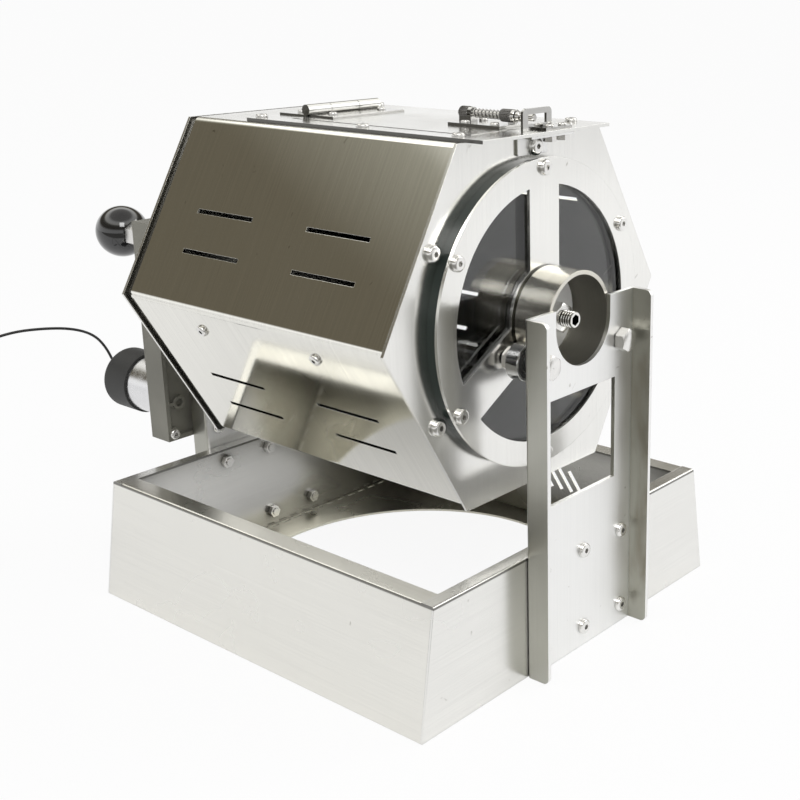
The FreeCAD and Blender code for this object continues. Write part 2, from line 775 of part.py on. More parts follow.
def door_screw_places():
    """Screws in the door plate, with the thickness of what each one holds."""
    x, forward = hinge_screws_front
    places = [(V(side * x, hinge_y - forward, door_top), hinge_leaf) for side in (-1, 1)]
    for x, back in latch_screws:
        places += [(V(side * x, door_front + back, door_top), latch_plate[3]) for side in (-1, 1)]
    return places


def build_door():
    plate = block(-door_half_x, door_half_x, door_front, door_rear, door_bottom, door_top)
    holes = [rod_z(p.x, p.y, m3[3], door_bottom, door_top) for p, _ in door_screw_places()]
    save("door_plate", plate.cut(group(holes)))
    save("door_screws", group([screw(m3, frame_sheet + held, p + UP * held, UP)
                               for p, held in door_screw_places()]))


def hinge_leaf_solid(side, base, knuckles, screw_x, screw_run):
    """Leaf with its knuckles; side is +1 behind the axis and -1 in front of it."""
    first, last = sorted((hinge_y + side * hinge_relief, hinge_y + side * hinge_leaf_end))
    body = block(-hinge_half_x, hinge_half_x, first, last, base, base + hinge_leaf)
    pieces = []
    for x0, x1 in knuckles:
        low, high = sorted((hinge_y, hinge_y + side * hinge_relief))
        pieces.append(block(x0, x1, low, high, base, base + hinge_leaf))
        pieces.append(rod_x(hinge_y, hinge_z, hinge_radius, x0, x1))
    leaf = fuse(body, *pieces)
    cutters = [rod_x(hinge_y, hinge_z, hinge_pin_radius + slide_gap, -hinge_half_x, hinge_half_x)]
    for x in (-screw_x, screw_x):
        cutters.append(rod_z(x, hinge_y + side * screw_run, m3[3], base, base + hinge_leaf))
    return leaf.cut(group(cutters))


def build_hinge():
    split = hinge_split_x + hinge_split_gap
    outer = ((-hinge_half_x, -split), (split, hinge_half_x))
    inner = hinge_split_x - hinge_split_gap
    save("hinge_rear_leaf", hinge_leaf_solid(1, frame_top, outer, *hinge_screws_rear))
    save("hinge_front_leaf", hinge_leaf_solid(-1, door_top, ((-inner, inner),),
                                              *hinge_screws_front))
    save("hinge_pin", rod_x(hinge_y, hinge_z, hinge_pin_radius, -hinge_half_x, hinge_half_x))


# ---------------------------------------------------------------- latch and keeper
def build_latch():
    half, front, rear, thick = latch_plate
    plate_top = door_top + thick
    plate = block(-half, half, door_front + front, door_front + rear, door_top, plate_top)
    radius = latch_guide[0]
    guide_front, guide_rear = (door_front + back for back in latch_guide[1:])
    saddle = block(-latch_saddle_half, latch_saddle_half, guide_front, guide_rear,
                   door_top, latch_z)
    barrel = rod_y(0, latch_z, radius, guide_front, guide_rear)
    bar_radius, bar_rear = latch_rod[0], door_front + latch_rod[1]
    cutters = [rod_y(0, latch_z, bar_radius + slide_gap, guide_front, guide_rear)]
    for x, back in latch_screws:
        cutters += [rod_z(side * x, door_front + back, m3[3], door_top, plate_top)
                    for side in (-1, 1)]
    save("latch_base", fuse(plate, saddle, barrel).cut(group(cutters)))

    grip_radius = latch_grip[0]
    grip_front, grip_rear = (door_front + back for back in latch_grip[1:])
    collar_radius, collar_front = latch_collar[0], door_front + latch_collar[1]
    bolt = fuse(rod_y(0, latch_z, bar_radius, grip_rear, bar_rear),
                rod_y(0, latch_z, grip_radius, grip_front, grip_rear),
                rod_y(0, latch_z, collar_radius, collar_front, grip_front),
                rod_y(0, latch_z, latch_nose_radius, nose_end, collar_front))
    save("latch_bolt", bolt)
    spring = tube_y(0, latch_z, latch_spring_radius, latch_spring_radius - latch_spring_wire,
                    grip_rear, guide_front)
    save("latch_spring", spring)


def build_keeper():
    half_window, low, high = keeper_window
    upright = block(-keeper_half, keeper_half, keeper_face, keeper_back,
                    frame_top, frame_top + keeper_height)
    upright = soften(upright, keeper_corner, lambda c, e: c.z > frame_top
                     and abs(abs(c.x) - keeper_half) < near and e.Length < keeper_sheet + near)
    window = block(-half_window, half_window, keeper_face, keeper_back,
                   frame_top + low, frame_top + high)
    foot_right, foot_depth = keeper_foot
    foot = block(0, foot_right, keeper_back - foot_depth, keeper_back,
                 frame_top, frame_top + keeper_sheet)
    holes = [rod_z(p.x, p.y, m3[3], frame_top, frame_top + keeper_sheet)
             for p in keeper_screw_places()]
    save("keeper", fuse(upright.cut(window), foot).cut(group(holes)))

    left, leg_right, top_right = bracket_span
    front = frame_front + bracket_setback
    top = block(left, top_right, front, drum_front, panel_top - bracket_sheet, panel_top)
    leg = block(left, leg_right, drum_front - bracket_sheet, drum_front,
                panel_top - bracket_drop, panel_top)
    leg = soften(leg, bracket_corner, lambda c, e: c.z < panel_top - bracket_drop + near
                 and e.Length < bracket_sheet + near)
    x, z = polar(flange_screw_circle, 90)
    bores = [rod_y(x, z, dome[3], drum_front - bracket_sheet, drum_front)]
    bores += [rod_z(p.x, p.y, m3[3], panel_top - bracket_sheet, panel_top)
              for p in keeper_screw_places()]
    save("overhang_bracket", fuse(top, leg).cut(group(bores)))


# ---------------------------------------------------------------- stud, rod and knob
def build_rod():
    """Short stud through the window and a longer rod behind the drum."""
    rod_end = knob_seat + knob_bore_depth
    flats, depth = stud_socket
    stud = rod_y(0, axis_z, rod_radius, stud_front, stud_end)
    stud = stud.cut(hex_y(0, axis_z, flats, stud_front, stud_front + depth))
    save("center_rod", group([stud, rod_y(0, axis_z, rod_radius, rod_start, rod_end)]))
    seats = ((long_nut, spider_front - long_nut[1]), (lock_nut, drum_front),
             (lock_nut, rod_start + thread_proud), (rear_nut, drum_rear),
             (rear_nut, hub_end), (handle_nut, knob_seat - handle_nut[1]))
    nuts = [hex_y(0, axis_z, size[0], y, y + size[1]).cut(
        rod_y(0, axis_z, rod_radius + slide_gap, y, y + size[1])) for size, y in seats]
    save("rod_nuts", group(nuts))
    ball = Part.makeSphere(knob_radius, V(0, knob_centre, axis_z))
    flat = block(-knob_radius, knob_radius, knob_centre - knob_radius - 1, knob_seat,
                 axis_z - knob_radius, axis_z + knob_radius)
    bore = rod_y(0, axis_z, rod_radius + slide_gap, knob_seat, rod_end)
    save("knob_ball", ball.cut(group([flat, bore])))


# ---------------------------------------------------------------- gear motor
def pitch_radius(teeth):
    return gear_module * teeth / 2


def idler_centre():
    """Third corner of the gear triangle, on the side towards the drum axis."""
    lower = pitch_radius(pinion_teeth) + pitch_radius(idler_teeth)
    upper = pitch_radius(idler_teeth) + pitch_radius(output_teeth)
    dx, dz = -motor_x, axis_z - motor_z
    span = math.hypot(dx, dz)
    along = (lower ** 2 - upper ** 2 + span ** 2) / (2 * span)
    aside = math.sqrt(lower ** 2 - along ** 2)
    ux, uz = dx / span, dz / span
    return motor_x + along * ux + aside * uz, motor_z + along * uz - aside * ux


def gear(teeth, centre, phase, bore, y0, y1):
    """Straight-sided gear; phase is the direction of one tooth, in radians."""
    root = pitch_radius(teeth) - tooth_height[1] * gear_module
    tip = pitch_radius(teeth) + tooth_height[0] * gear_module
    at_tip, at_root = tooth_half_width
    pitch = 2 * math.pi / teeth
    outline = []
    for k in range(teeth):
        middle = phase + k * pitch
        for radius, share in ((root, -at_root), (tip, -at_tip), (tip, at_tip), (root, at_root)):
            angle = middle + share * pitch
            outline.append((centre[0] + radius * math.cos(angle),
                            centre[1] + radius * math.sin(angle)))
    return prism_y(outline, y0, y1).cut(rod_y(centre[0], centre[1], bore, y0, y1))


def gear_phases():
    """Tooth directions that put a tooth of each gear in a gap of the next."""
    ix, iz = idler_centre()
    to_idler = math.atan2(iz - motor_z, ix - motor_x)
    to_output = math.atan2(axis_z - iz, -ix)
    half_gap = math.pi / idler_teeth
    idler_phase = to_idler + math.pi + half_gap
    pitch = 2 * math.pi / idler_teeth
    offset = (idler_phase - to_output) % pitch
    arc = offset * pitch_radius(idler_teeth) / pitch_radius(output_teeth)
    output_phase = to_output + math.pi - arc + math.pi / output_teeth
    return to_idler, idler_phase, output_phase


def gearbox_outline():
    return [(gearbox_left, gearbox_bottom), (gearbox_foot_right, gearbox_bottom),
            (gearbox_right, gearbox_knee), (gearbox_right, gearbox_top),
            (gearbox_left, gearbox_top)]


def inset_outline(outline, wall):
    wire = Part.makePolygon([V(x, 0, z) for x, z in outline + outline[:1]])
    return Part.Face(wire).makeOffset2D(-wall, 2)


def pocket(y0, y1):
    face = inset_outline(gearbox_outline(), gearbox_wall)
    face.translate(V(0, y0, 0))
    return face.extrude(V(0, y1 - y0, 0))


def gearbox_housing():
    body = prism_y(gearbox_outline(), gearbox_front, gearbox_rear)
    body = body.cut(group([pocket(gearbox_front, floor_front), pocket(floor_rear, gearbox_rear)]))
    posts = [rod_y(x, z, case_post, gearbox_front, gearbox_rear) for x, z in case_screws]
    lugs = [rod_y(x, z, lug_radius, web_front, floor_rear + gear_rise / 2) for x, z in lug_places]
    rib_front = gearbox_front + recess_step
    rib = block(gearbox_left + gearbox_wall, rib_boss_x, rib_front, floor_rear,
                rib_height - rib_half, rib_height + rib_half)
    boss = rod_y(rib_boss_x, rib_height, lug_radius, rib_front, floor_rear)
    pin = rod_y(*idler_centre(), idler_pin, floor_rear - pin_root, gearbox_rear)
    body = fuse(body, rib, boss, pin, *posts, *lugs)
    cutters = [rod_y(0, axis_z, hub_radius + slide_gap, gearbox_front, floor_rear),
               rod_y(rib_boss_x, rib_height, rib_boss_bore, gearbox_front, floor_front)]
    cutters += [rod_y(x, z, m4[3], gearbox_front, gearbox_rear) for x, z in case_screws]
    cutters += [rod_y(x, z, m5[3], web_front, floor_front) for x, z in lug_places]
    return body.cut(group(cutters))


def gearbox_cover():
    plate = prism_y(gearbox_outline(), gearbox_rear, cover_rear)
    cutters = [rod_y(0, axis_z, hub_radius + slide_gap, gearbox_rear, cover_rear),
               rod_y(motor_x, motor_z, shaft_opening, gearbox_rear, cover_rear)]
    cutters += [rod_y(x, z, m4[3], gearbox_rear, cover_rear) for x, z in case_screws]
    return plate.cut(group(cutters))


def build_gears():
    pinion_phase, idler_phase, output_phase = gear_phases()
    motor = (motor_x, motor_z)
    pinion = gear(pinion_teeth, motor, pinion_phase, shaft_radius, gear_front, gear_rear)
    shaft = rod_y(*motor, shaft_radius, gear_front, cover_rear + shaft_length)
    save("motor_pinion", fuse(pinion, shaft))
    save("idler_gear", gear(idler_teeth, idler_centre(), idler_phase, idler_pin + slide_gap,
                            gear_front, gear_rear))
    axis = (0.0, axis_z)
    wheel = gear(output_teeth, axis, output_phase, rod_radius + slide_gap, gear_front, gear_rear)
    hub = tube_y(0, axis_z, hub_radius, rod_radius + slide_gap, floor_front, hub_end)
    save("output_gear", fuse(wheel, hub))


def build_motor():
    save("gearbox_housing", gearbox_housing())
    save("gearbox_cover", gearbox_cover())
    screws = [screw(m4, gearbox_depth + cover_sheet, V(x, gearbox_front, z), FRONT)
              for x, z in case_screws]
    screws += [screw(m5, floor_front - tray_half_y, V(x, tray_half_y, z), FRONT)
               for x, z in lug_places]
    save("gearbox_screws", group(screws))
    can = rod_y(motor_x, motor_z, can_radius, cover_rear, can_end)
    can = soften(can, can_rounding, lambda c, e: c.y > can_end - near)
    bore = rod_y(motor_x, motor_z, shaft_radius + slide_gap, cover_rear, cover_rear + shaft_length)
    save("motor_can", can.cut(bore))
    cap = rod_y(motor_x, motor_z, cap_radius, cap_front, cap_rear)
    cap = soften(cap, cap_rounding, lambda c, e: c.y > cap_rear - near)
    save("motor_cap", cap.cut(rod_y(motor_x, motor_z, can_radius + slide_gap, cap_front, can_end)))


# ---------------------------------------------------------------- lead
def rounded_path(points):
    """Straight runs joined by tangent arcs as large as the runs allow."""
    edges, start = [], points[0]
    for before, corner, after in zip(points, points[1:], points[2:]):
        a, b = before - corner, after - corner
        run = min(a.Length, b.Length)
        a.normalize()
        b.normalize()
        reach = 0.45 * run
        turn = math.pi - a.getAngle(b)
        radius = reach / math.tan(turn / 2)
        centre_line = a + b
        centre_line.normalize()
        middle = corner + centre_line * (radius / math.cos(turn / 2) - radius)
        enter, leave = corner + a * reach, corner + b * reach
        edges.append(Part.LineSegment(start, enter).toShape())
        edges.append(Part.Arc(enter, middle, leave).toShape())
        start = leave
        print("lead radius %.1f at (%.0f, %.0f, %.0f)" % (radius, corner.x, corner.y, corner.z))
    edges.append(Part.LineSegment(start, points[-1]).toShape())
    return Part.Wire(edges)


def build_lead():
    exit_point = V(motor_x, cap_rear, motor_z + lead_exit_rise)
    points = [exit_point] + [V(*p) for p in lead_route]
    path = rounded_path(points)
    first_run = points[1] - points[0]
    section = Part.Wire([Part.makeCircle(lead_diameter / 2, exit_point, first_run)])
    lead = path.makePipeShell([section], True, False)
    save("lead", lead)
    area = math.pi * lead_diameter ** 2 / 4
    print("lead tube %.1f mm, volume ratio %.4f" % (path.Length, lead.Volume / area / path.Length))
    build_coil()


def build_coil():
    """Outer shape of the wound lead, with the plug lying behind it."""
    x, y = coil_centre
    wire = lead_diameter / 2
    outer = coil_mean_radius + coil_columns * wire
    inner = coil_mean_radius - coil_columns * wire
    top = floor_z + coil_layers * lead_diameter
    plug_start = y + outer + plug_gap
    lead_in = rod_y(x - coil_mean_radius, floor_z + wire + coil_stub_inset, wire,
                    y, y + coil_lead_in)
    lead_out = rod_y(x + coil_mean_radius, top - wire - coil_stub_inset, wire, y, plug_start)
    ring = rod_z(x, y, outer, floor_z, top).cut(rod_z(x, y, inner, floor_z, top))
    save("lead_coil", fuse(ring, lead_in, lead_out))
    turns = coil_layers * coil_columns
    print("coil holds %.0f mm in %d turns" % (turns * 2 * math.pi * coil_mean_radius, turns))
    build_plug(x + coil_mean_radius, plug_start)


def build_plug(x, start):
    z = floor_z + plug_radius
    end = start + plug_length
    tip_radius, tip_bore, tip_length = plug_tip
    handle = rod_y(x, z, plug_radius, start, end)
    handle = soften(handle, plug_rounding, lambda c, e: c.y < start + near)
    tip = rod_y(x, z, tip_radius, end, end + tip_length)
    socket = rod_y(x, z, tip_bore, end, end + tip_length)
    save("lead_plug", fuse(handle, tip).cut(socket))


def main():
    os.makedirs("parts", exist_ok=True)
    build_tray()
    build_stands()
    build_bearings()
    build_shell()
    build_flanges()
    build_window()
    build_vanes()
    build_frame()
    build_door()
    build_hinge()
    build_latch()
    build_keeper()
    build_rod()
    build_gears()
    build_motor()
    build_lead()


main()
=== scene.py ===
import math

import bpy
from mathutils import Euler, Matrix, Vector


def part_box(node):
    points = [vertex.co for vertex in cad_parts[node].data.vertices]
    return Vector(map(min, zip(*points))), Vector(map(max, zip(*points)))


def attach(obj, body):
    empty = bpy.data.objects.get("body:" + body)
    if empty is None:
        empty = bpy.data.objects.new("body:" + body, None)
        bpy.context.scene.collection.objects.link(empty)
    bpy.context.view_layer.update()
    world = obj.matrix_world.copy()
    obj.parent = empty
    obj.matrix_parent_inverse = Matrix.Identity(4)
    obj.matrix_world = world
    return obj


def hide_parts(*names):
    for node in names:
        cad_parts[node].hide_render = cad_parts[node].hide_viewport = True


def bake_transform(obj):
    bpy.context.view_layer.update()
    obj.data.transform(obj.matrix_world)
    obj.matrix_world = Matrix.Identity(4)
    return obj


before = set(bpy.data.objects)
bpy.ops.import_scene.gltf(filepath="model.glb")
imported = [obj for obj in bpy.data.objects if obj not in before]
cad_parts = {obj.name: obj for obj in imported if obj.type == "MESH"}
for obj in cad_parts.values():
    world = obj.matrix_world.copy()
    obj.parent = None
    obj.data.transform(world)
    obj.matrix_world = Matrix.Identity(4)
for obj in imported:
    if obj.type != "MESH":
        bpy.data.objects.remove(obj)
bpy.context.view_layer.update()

MM = 0.001

# ---------------------------------------------------------------- camera
FRAME_PIXELS = 800
FOCAL_PIXELS = 1280.66
CENTRE_COLUMN = 569.17        # where the optical axis meets the frame
CENTRE_ROW = 362.77
SENSOR = 36.0                 # millimetres
CAMERA_PLACE = (-0.57504, -0.58684, 0.40051)
CAMERA_PITCH = 16.62          # degrees below the horizon
CAMERA_TURN = -52.15          # degrees about Z, from +Y

# ---------------------------------------------------------------- lead
# Places, radii and heights of the lead are in millimetres.
LEAD_DIAMETER = 2.0 * MM
LEAD_EXIT = (-45.0, 250.0, 116.0)
LEAD_ROUTE = (
    (-45.0, 266.0, 116.0), (-47.5, 272.0, 131.0), (-58.0, 270.0, 144.0),
    (-76.0, 267.0, 153.0), (-100.0, 263.0, 159.0), (-127.0, 262.0, 162.0),
    (-151.0, 267.0, 157.0), (-169.0, 276.0, 139.0), (-180.0, 286.0, 113.0),
    (-186.5, 296.0, 82.0), (-190.0, 304.0, 52.0), (-191.5, 305.0, 26.0),
    (-191.5, 296.5, 9.0), (-191.0, 285.0, 1.2), (-191.0, 275.0, 1.2),
)
COIL_CENTRE = (-180.0, 258.0)
COIL_START = (11.0, 1.1)      # radius and height where the first turn starts
COIL_TURNS = (                # radius and height at the end of each turn
    (9.0, 1.0), (9.0, 3.05), (11.05, 3.05), (13.1, 3.05), (13.1, 5.1), (11.05, 5.1),
)
TURN_POINTS = 16
COIL_TAIL = ((-168.9, 266.0, 5.1), (-169.0, 274.3, 5.0))


# ---------------------------------------------------------------- colours and marks
STAINLESS = (0.875, 0.870, 0.845)
DRUM_STEEL = (0.88, 0.87, 0.82)
TUBE_STEEL = (0.74, 0.72, 0.65)
WARM_STEEL = (0.88, 0.87, 0.825)
STAND_STEEL = (0.93, 0.93, 0.92)
FLOOR_STEEL = (0.90, 0.88, 0.76)
PAINTED_SHADE = (0.035, 0.032, 0.024, 1.0)      # painted shade: corners, seams, grooves, cut sides, under the fold and the drum's inside
STAIN_AND_SHADE = (0.16, 0.13, 0.08, 1.0)        # real spots, and patches of painted shade on the stands' flanges
BORE_SHADE = (0.105, 0.101, 0.083, 1.0)      # painted shade inside a neck
FLANGE_SHADE = (0.20, 0.195, 0.125, 1.0)       # painted shade on a stand's flanges
CREST = (0.84, 0.83, 0.80, 1.0)        # a thread, outside its grooves
CLEAR = (0.96, 0.97, 0.965, 1.0)       # the window's pane
PANE_RIM = (0.030, 0.038, 0.034, 1.0)  # and its green edge

GRAIN_FINE = 1500.0                    # noise across the brushed lines
GRAIN_LONG = 12.0                      # and along them
GRAIN_X = (GRAIN_LONG, GRAIN_FINE, GRAIN_FINE)     # lines along X
GRAIN_Y = (GRAIN_FINE, GRAIN_LONG, GRAIN_FINE)
GRAIN_Z = (GRAIN_FINE, GRAIN_FINE, GRAIN_LONG)
GRAIN_AROUND = (GRAIN_LONG, GRAIN_FINE, GRAIN_LONG)
GRAIN_DEPTH = 0.05 * MM

SHEET_EDGE = 0.35 * MM                 # rounding of a sheet's or a tube's edges
SEAM_SHADE = (3.0 * MM, 0.45)           # reach from a corner, and share of painted shade in it
# Reach and share of painted shade in the corners and sockets of plated parts.
PLATED_SHADE = (2.5 * MM, 0.85)
# Reach of the painted shade on faces that look inward.
HOLLOW_REACH = 60.0 * MM
SPOT_PEAKS = (0.76, 0.82)              # values of the noise that show as spots
PATCH_PEAKS = (0.56, 0.74)             # and as patches
DRUM_CENTRE = (0.0, 0.0035, 0.21)
DRUM_SHADE = (-90.0 * MM, 10.0 * MM)   # the drum's inside darkens between these, along Y
NECK_FOOT = (123.4 * MM, 123.7 * MM)   # a neck's painted ring of shade ends between these, from Y = 0
HUB_EDGE = (26.0 * MM, 27.0 * MM)      # the hub plate is matt within this radius
GROOVE = (4.15 * MM, 4.75 * MM)        # a thread's root, painted with shade, and its bright crest
FOLD_DEPTH = (2.2 * MM, 1.6 * MM)      # below the rim, where its painted line of shade begins and is full

# Sizes of one axis of a normal between which a mark appears or ends.
CUT_SIDE = (0.6, 0.95)                 # X: a cut side begins, and is full
WALL = (0.55, 0.75)                    # Z: a wall ends, and is gone
THREAD_SIDE = (0.88, 0.96)             # Y: a thread's side ends, and is gone
PANE_FACE = (0.45, 0.55)               # Y: the pane's face begins, and is full


# ---------------------------------------------------------------- materials
def shader(name, metallic=0.0):
    material = bpy.data.materials.new(name)
    material.use_nodes = True
    nodes, links = material.node_tree.nodes, material.node_tree.links
    bsdf = nodes["Principled BSDF"]
    bsdf.inputs["Metallic"].default_value = metallic
    return material, nodes, links, bsdf


def texture(nodes, links, scale, detail, stretch=(1.0, 1.0, 1.0), distortion=0.0):
    """Noise in the object's own coordinates, in metres, stretched along its axes."""
    place = nodes.new("ShaderNodeTexCoord")
    mapping = nodes.new("ShaderNodeMapping")
    mapping.inputs["Scale"].default_value = stretch
    noise = nodes.new("ShaderNodeTexNoise")
    noise.inputs["Scale"].default_value = scale
    noise.inputs["Detail"].default_value = detail
    noise.inputs["Distortion"].default_value = distortion
    links.new(place.outputs["Object"], mapping.inputs["Vector"])
    links.new(mapping.outputs["Vector"], noise.inputs["Vector"])
    return noise.outputs["Fac"]


def spread(nodes, links, value, low, high, start=0.3, end=0.7):
    """Map a value from start..end onto low..high; most of a noise lies in 0.3..0.7."""
    node = nodes.new("ShaderNodeMapRange")
    node.inputs["From Min"].default_value = start
    node.inputs["From Max"].default_value = end
    node.inputs["To Min"].default_value = low
    node.inputs["To Max"].default_value = high
    links.new(value, node.inputs["Value"])
    return node.outputs["Result"]


def tinted(nodes, links, value, dark, light):
    """A noise value's colour, from dark to light."""
    ramp = nodes.new("ShaderNodeValToRGB")
    for stop, position, colour in zip(ramp.color_ramp.elements, (0.3, 0.7), (dark, light)):
        stop.position = position
        stop.color = (*colour, 1.0)
    links.new(value, ramp.inputs["Fac"])
    return ramp.outputs["Color"]


def scaled(colour, factor):
    return tuple(min(1.0, channel * factor) for channel in colour)


def rounded_edges(nodes, radius):
    """Normal that softens the edges of a sheet or casting."""
    node = nodes.new("ShaderNodeBevel")
    node.samples = 4
    node.inputs["Radius"].default_value = radius
    return node.outputs["Normal"]


def bumped(nodes, links, value, strength, distance, normal=None):
    node = nodes.new("ShaderNodeBump")
    node.inputs["Strength"].default_value = strength
    node.inputs["Distance"].default_value = distance
    links.new(value, node.inputs["Height"])
    if normal is not None:
        links.new(normal, node.inputs["Normal"])
    return node.outputs["Normal"]


def shaded_and_stained(nodes, links, colour, factor, overlay=PAINTED_SHADE):
    """A colour, with the overlay over it where factor is 1; the overlay is painted shade by
    default, and elsewhere other painted shade and real stains.
    """
    mix = nodes.new("ShaderNodeMix")
    mix.data_type = "RGBA"
    links.new(factor, mix.inputs["Factor"])
    links.new(colour, mix.inputs["A"])
    mix.inputs["B"].default_value = overlay
    return mix.outputs["Result"]


def product(nodes, links, first, second):
    times = nodes.new("ShaderNodeMath")
    times.operation = "MULTIPLY"
    links.new(first, times.inputs[0])
    links.new(second, times.inputs[1])
    return times.outputs["Value"]


def closeness(nodes, links, reach, share, start=0.15, end=0.75):
    """Up to share in corners, sockets and seams: painted shade gathers there."""
    corner = nodes.new("ShaderNodeAmbientOcclusion")
    corner.samples = 6
    corner.inputs["Distance"].default_value = reach
    return spread(nodes, links, corner.outputs["AO"], share, 0.0, start, end)


# Painted shade in corners, sockets and seams.
def corner_shaded(nodes, links, colour, reach, share):
    return shaded_and_stained(nodes, links, colour, closeness(nodes, links, reach, share))


def inward(nodes, links, centre=(0.0, 0.0, 0.0), axes=(1.0, 1.0, 0.0)):
    """1 on faces that look towards centre, measured along the given axes, else 0.

    A face counts when its plane passes more than 10 to 20 mm from the centre."""
    place = nodes.new("ShaderNodeTexCoord")
    offset, kept, facing = (nodes.new("ShaderNodeVectorMath") for _ in range(3))
    offset.operation, kept.operation, facing.operation = "SUBTRACT", "MULTIPLY", "DOT_PRODUCT"
    offset.inputs[1].default_value = centre
    kept.inputs[1].default_value = axes
    links.new(place.outputs["Object"], offset.inputs[0])
    links.new(offset.outputs["Vector"], kept.inputs[0])
    links.new(kept.outputs["Vector"], facing.inputs[0])
    links.new(place.outputs["Normal"], facing.inputs[1])
    return spread(nodes, links, facing.outputs["Value"], 1.0, 0.0, -20.0 * MM, -10.0 * MM)


def component(nodes, links, source, axis):
    """One axis of the object's own coordinates ("Object") or normal ("Normal")."""
    split = nodes.new("ShaderNodeSeparateXYZ")
    links.new(nodes.new("ShaderNodeTexCoord").outputs[source], split.inputs["Vector"])
    return split.outputs[axis]


def size_of(nodes, links, value):
    node = nodes.new("ShaderNodeMath")
    node.operation = "ABSOLUTE"
    links.new(value, node.inputs[0])
    return node.outputs["Value"]


def axis_distance(nodes, links):
    """Distance from the drum axis."""
    offset, flat, reach = (nodes.new("ShaderNodeVectorMath") for _ in range(3))
    offset.operation, flat.operation, reach.operation = "SUBTRACT", "MULTIPLY", "LENGTH"
    offset.inputs[1].default_value = DRUM_CENTRE
    flat.inputs[1].default_value = (1.0, 0.0, 1.0)
    links.new(nodes.new("ShaderNodeTexCoord").outputs["Object"], offset.inputs[0])
    links.new(offset.outputs["Vector"], flat.inputs[0])
    links.new(flat.outputs["Vector"], reach.inputs[0])
    return reach.outputs["Value"]


def across_x(nodes, links, share):
    """share on faces across X, such as a thin plate's cut sides, else 0."""
    normal = size_of(nodes, links, component(nodes, links, "Normal", "X"))
    return spread(nodes, links, normal, 0.0, share, *CUT_SIDE)


def fold_line(nodes, links, share):
    """share of painted shade on a wall just under the tray's rim fold, else 0, as on sheets above
    the tray.
    """
    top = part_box("base_left_wall")[1].z
    height = component(nodes, links, "Object", "Z")
    line = spread(nodes, links, height, 0.0, share, *(top - depth for depth in FOLD_DEPTH))
    on_tray = spread(nodes, links, height, 1.0, 0.0, top, top + 0.1 * MM)
    tilt = size_of(nodes, links, component(nodes, links, "Normal", "Z"))
    upright = spread(nodes, links, tilt, 1.0, 0.0, *WALL)
    return product(nodes, links, line, product(nodes, links, on_tray, upright))


def brushed(name, colour, roughness, grain, contrast, bump, hollow=0.0, shade_from=0.35,
            in_drum=False, flanges=False, cut_sides=0.0, fold=0.0):
    """Brushed sheet: fine parallel lines, soft cloudy wear and rounded edges.

    hollow paints shade on the faces that look inward: close to others, or deep in the drum.
    flanges paints shade on the faces across X, and cut_sides paints shade on them. fold paints
    the line of shade under the tray's fold."""
    material, nodes, links, bsdf = shader(name, 1.0)
    lines = texture(nodes, links, 1.0, 4.0, grain)
    clouds = texture(nodes, links, 14.0, 4.0, distortion=0.4)
    spots = texture(nodes, links, 130.0, 1.5, distortion=0.8)
    skin = tinted(nodes, links, lines, scaled(colour, 1 - contrast), scaled(colour, 1 + contrast))
    # Painted shade in corners and seams.
    skin = corner_shaded(nodes, links, skin, *SEAM_SHADE)
    skin = shaded_and_stained(nodes, links, skin, spread(nodes, links, spots, 0.0, 0.45, *SPOT_PEAKS), STAIN_AND_SHADE)
    if hollow and in_drum:
        # Painted shade on the drum's inner faces, darker towards the rear.
        depth = spread(nodes, links, component(nodes, links, "Object", "Y"), 0.0, hollow,
                       *DRUM_SHADE)
        inner = inward(nodes, links, DRUM_CENTRE, (1.0, 1.0, 1.0))
        skin = shaded_and_stained(nodes, links, skin, product(nodes, links, inner, depth))
    elif hollow:
        # Painted shade on inward faces close to others.
        shade = closeness(nodes, links, HOLLOW_REACH, hollow, shade_from, shade_from + 0.6)
        skin = shaded_and_stained(nodes, links, skin, product(nodes, links, inward(nodes, links), shade))
    if flanges:
        # Painted shade on the faces across X, a little more on inner faces, with patches of it on
        # the inner faces.
        across = across_x(nodes, links, 1.0)
        flange_shade_share = spread(nodes, links, inward(nodes, links), 0.62, 0.70, 0.0, 1.0)
        skin = shaded_and_stained(nodes, links, skin, product(nodes, links, across, flange_shade_share), FLANGE_SHADE)
        patches = texture(nodes, links, 35.0, 4.0, (1.0, 1.0, 0.35), 0.5)
        patchy_shade = product(nodes, links, across,
                       spread(nodes, links, patches, 0.0, 0.55, *PATCH_PEAKS))
        patchy_shade = product(nodes, links, patchy_shade, inward(nodes, links))
        skin = shaded_and_stained(nodes, links, skin, patchy_shade, STAIN_AND_SHADE)
    if cut_sides:
        # Painted shade on cut sides.
        skin = shaded_and_stained(nodes, links, skin, across_x(nodes, links, cut_sides))
    if fold:
        # Painted line of shade under the tray's fold.
        skin = shaded_and_stained(nodes, links, skin, fold_line(nodes, links, fold))
    links.new(skin, bsdf.inputs["Base Color"])
    links.new(spread(nodes, links, clouds, roughness * 0.8, roughness * 1.25),
              bsdf.inputs["Roughness"])
    links.new(bumped(nodes, links, lines, bump, GRAIN_DEPTH, rounded_edges(nodes, SHEET_EDGE)),
              bsdf.inputs["Normal"])
    return material


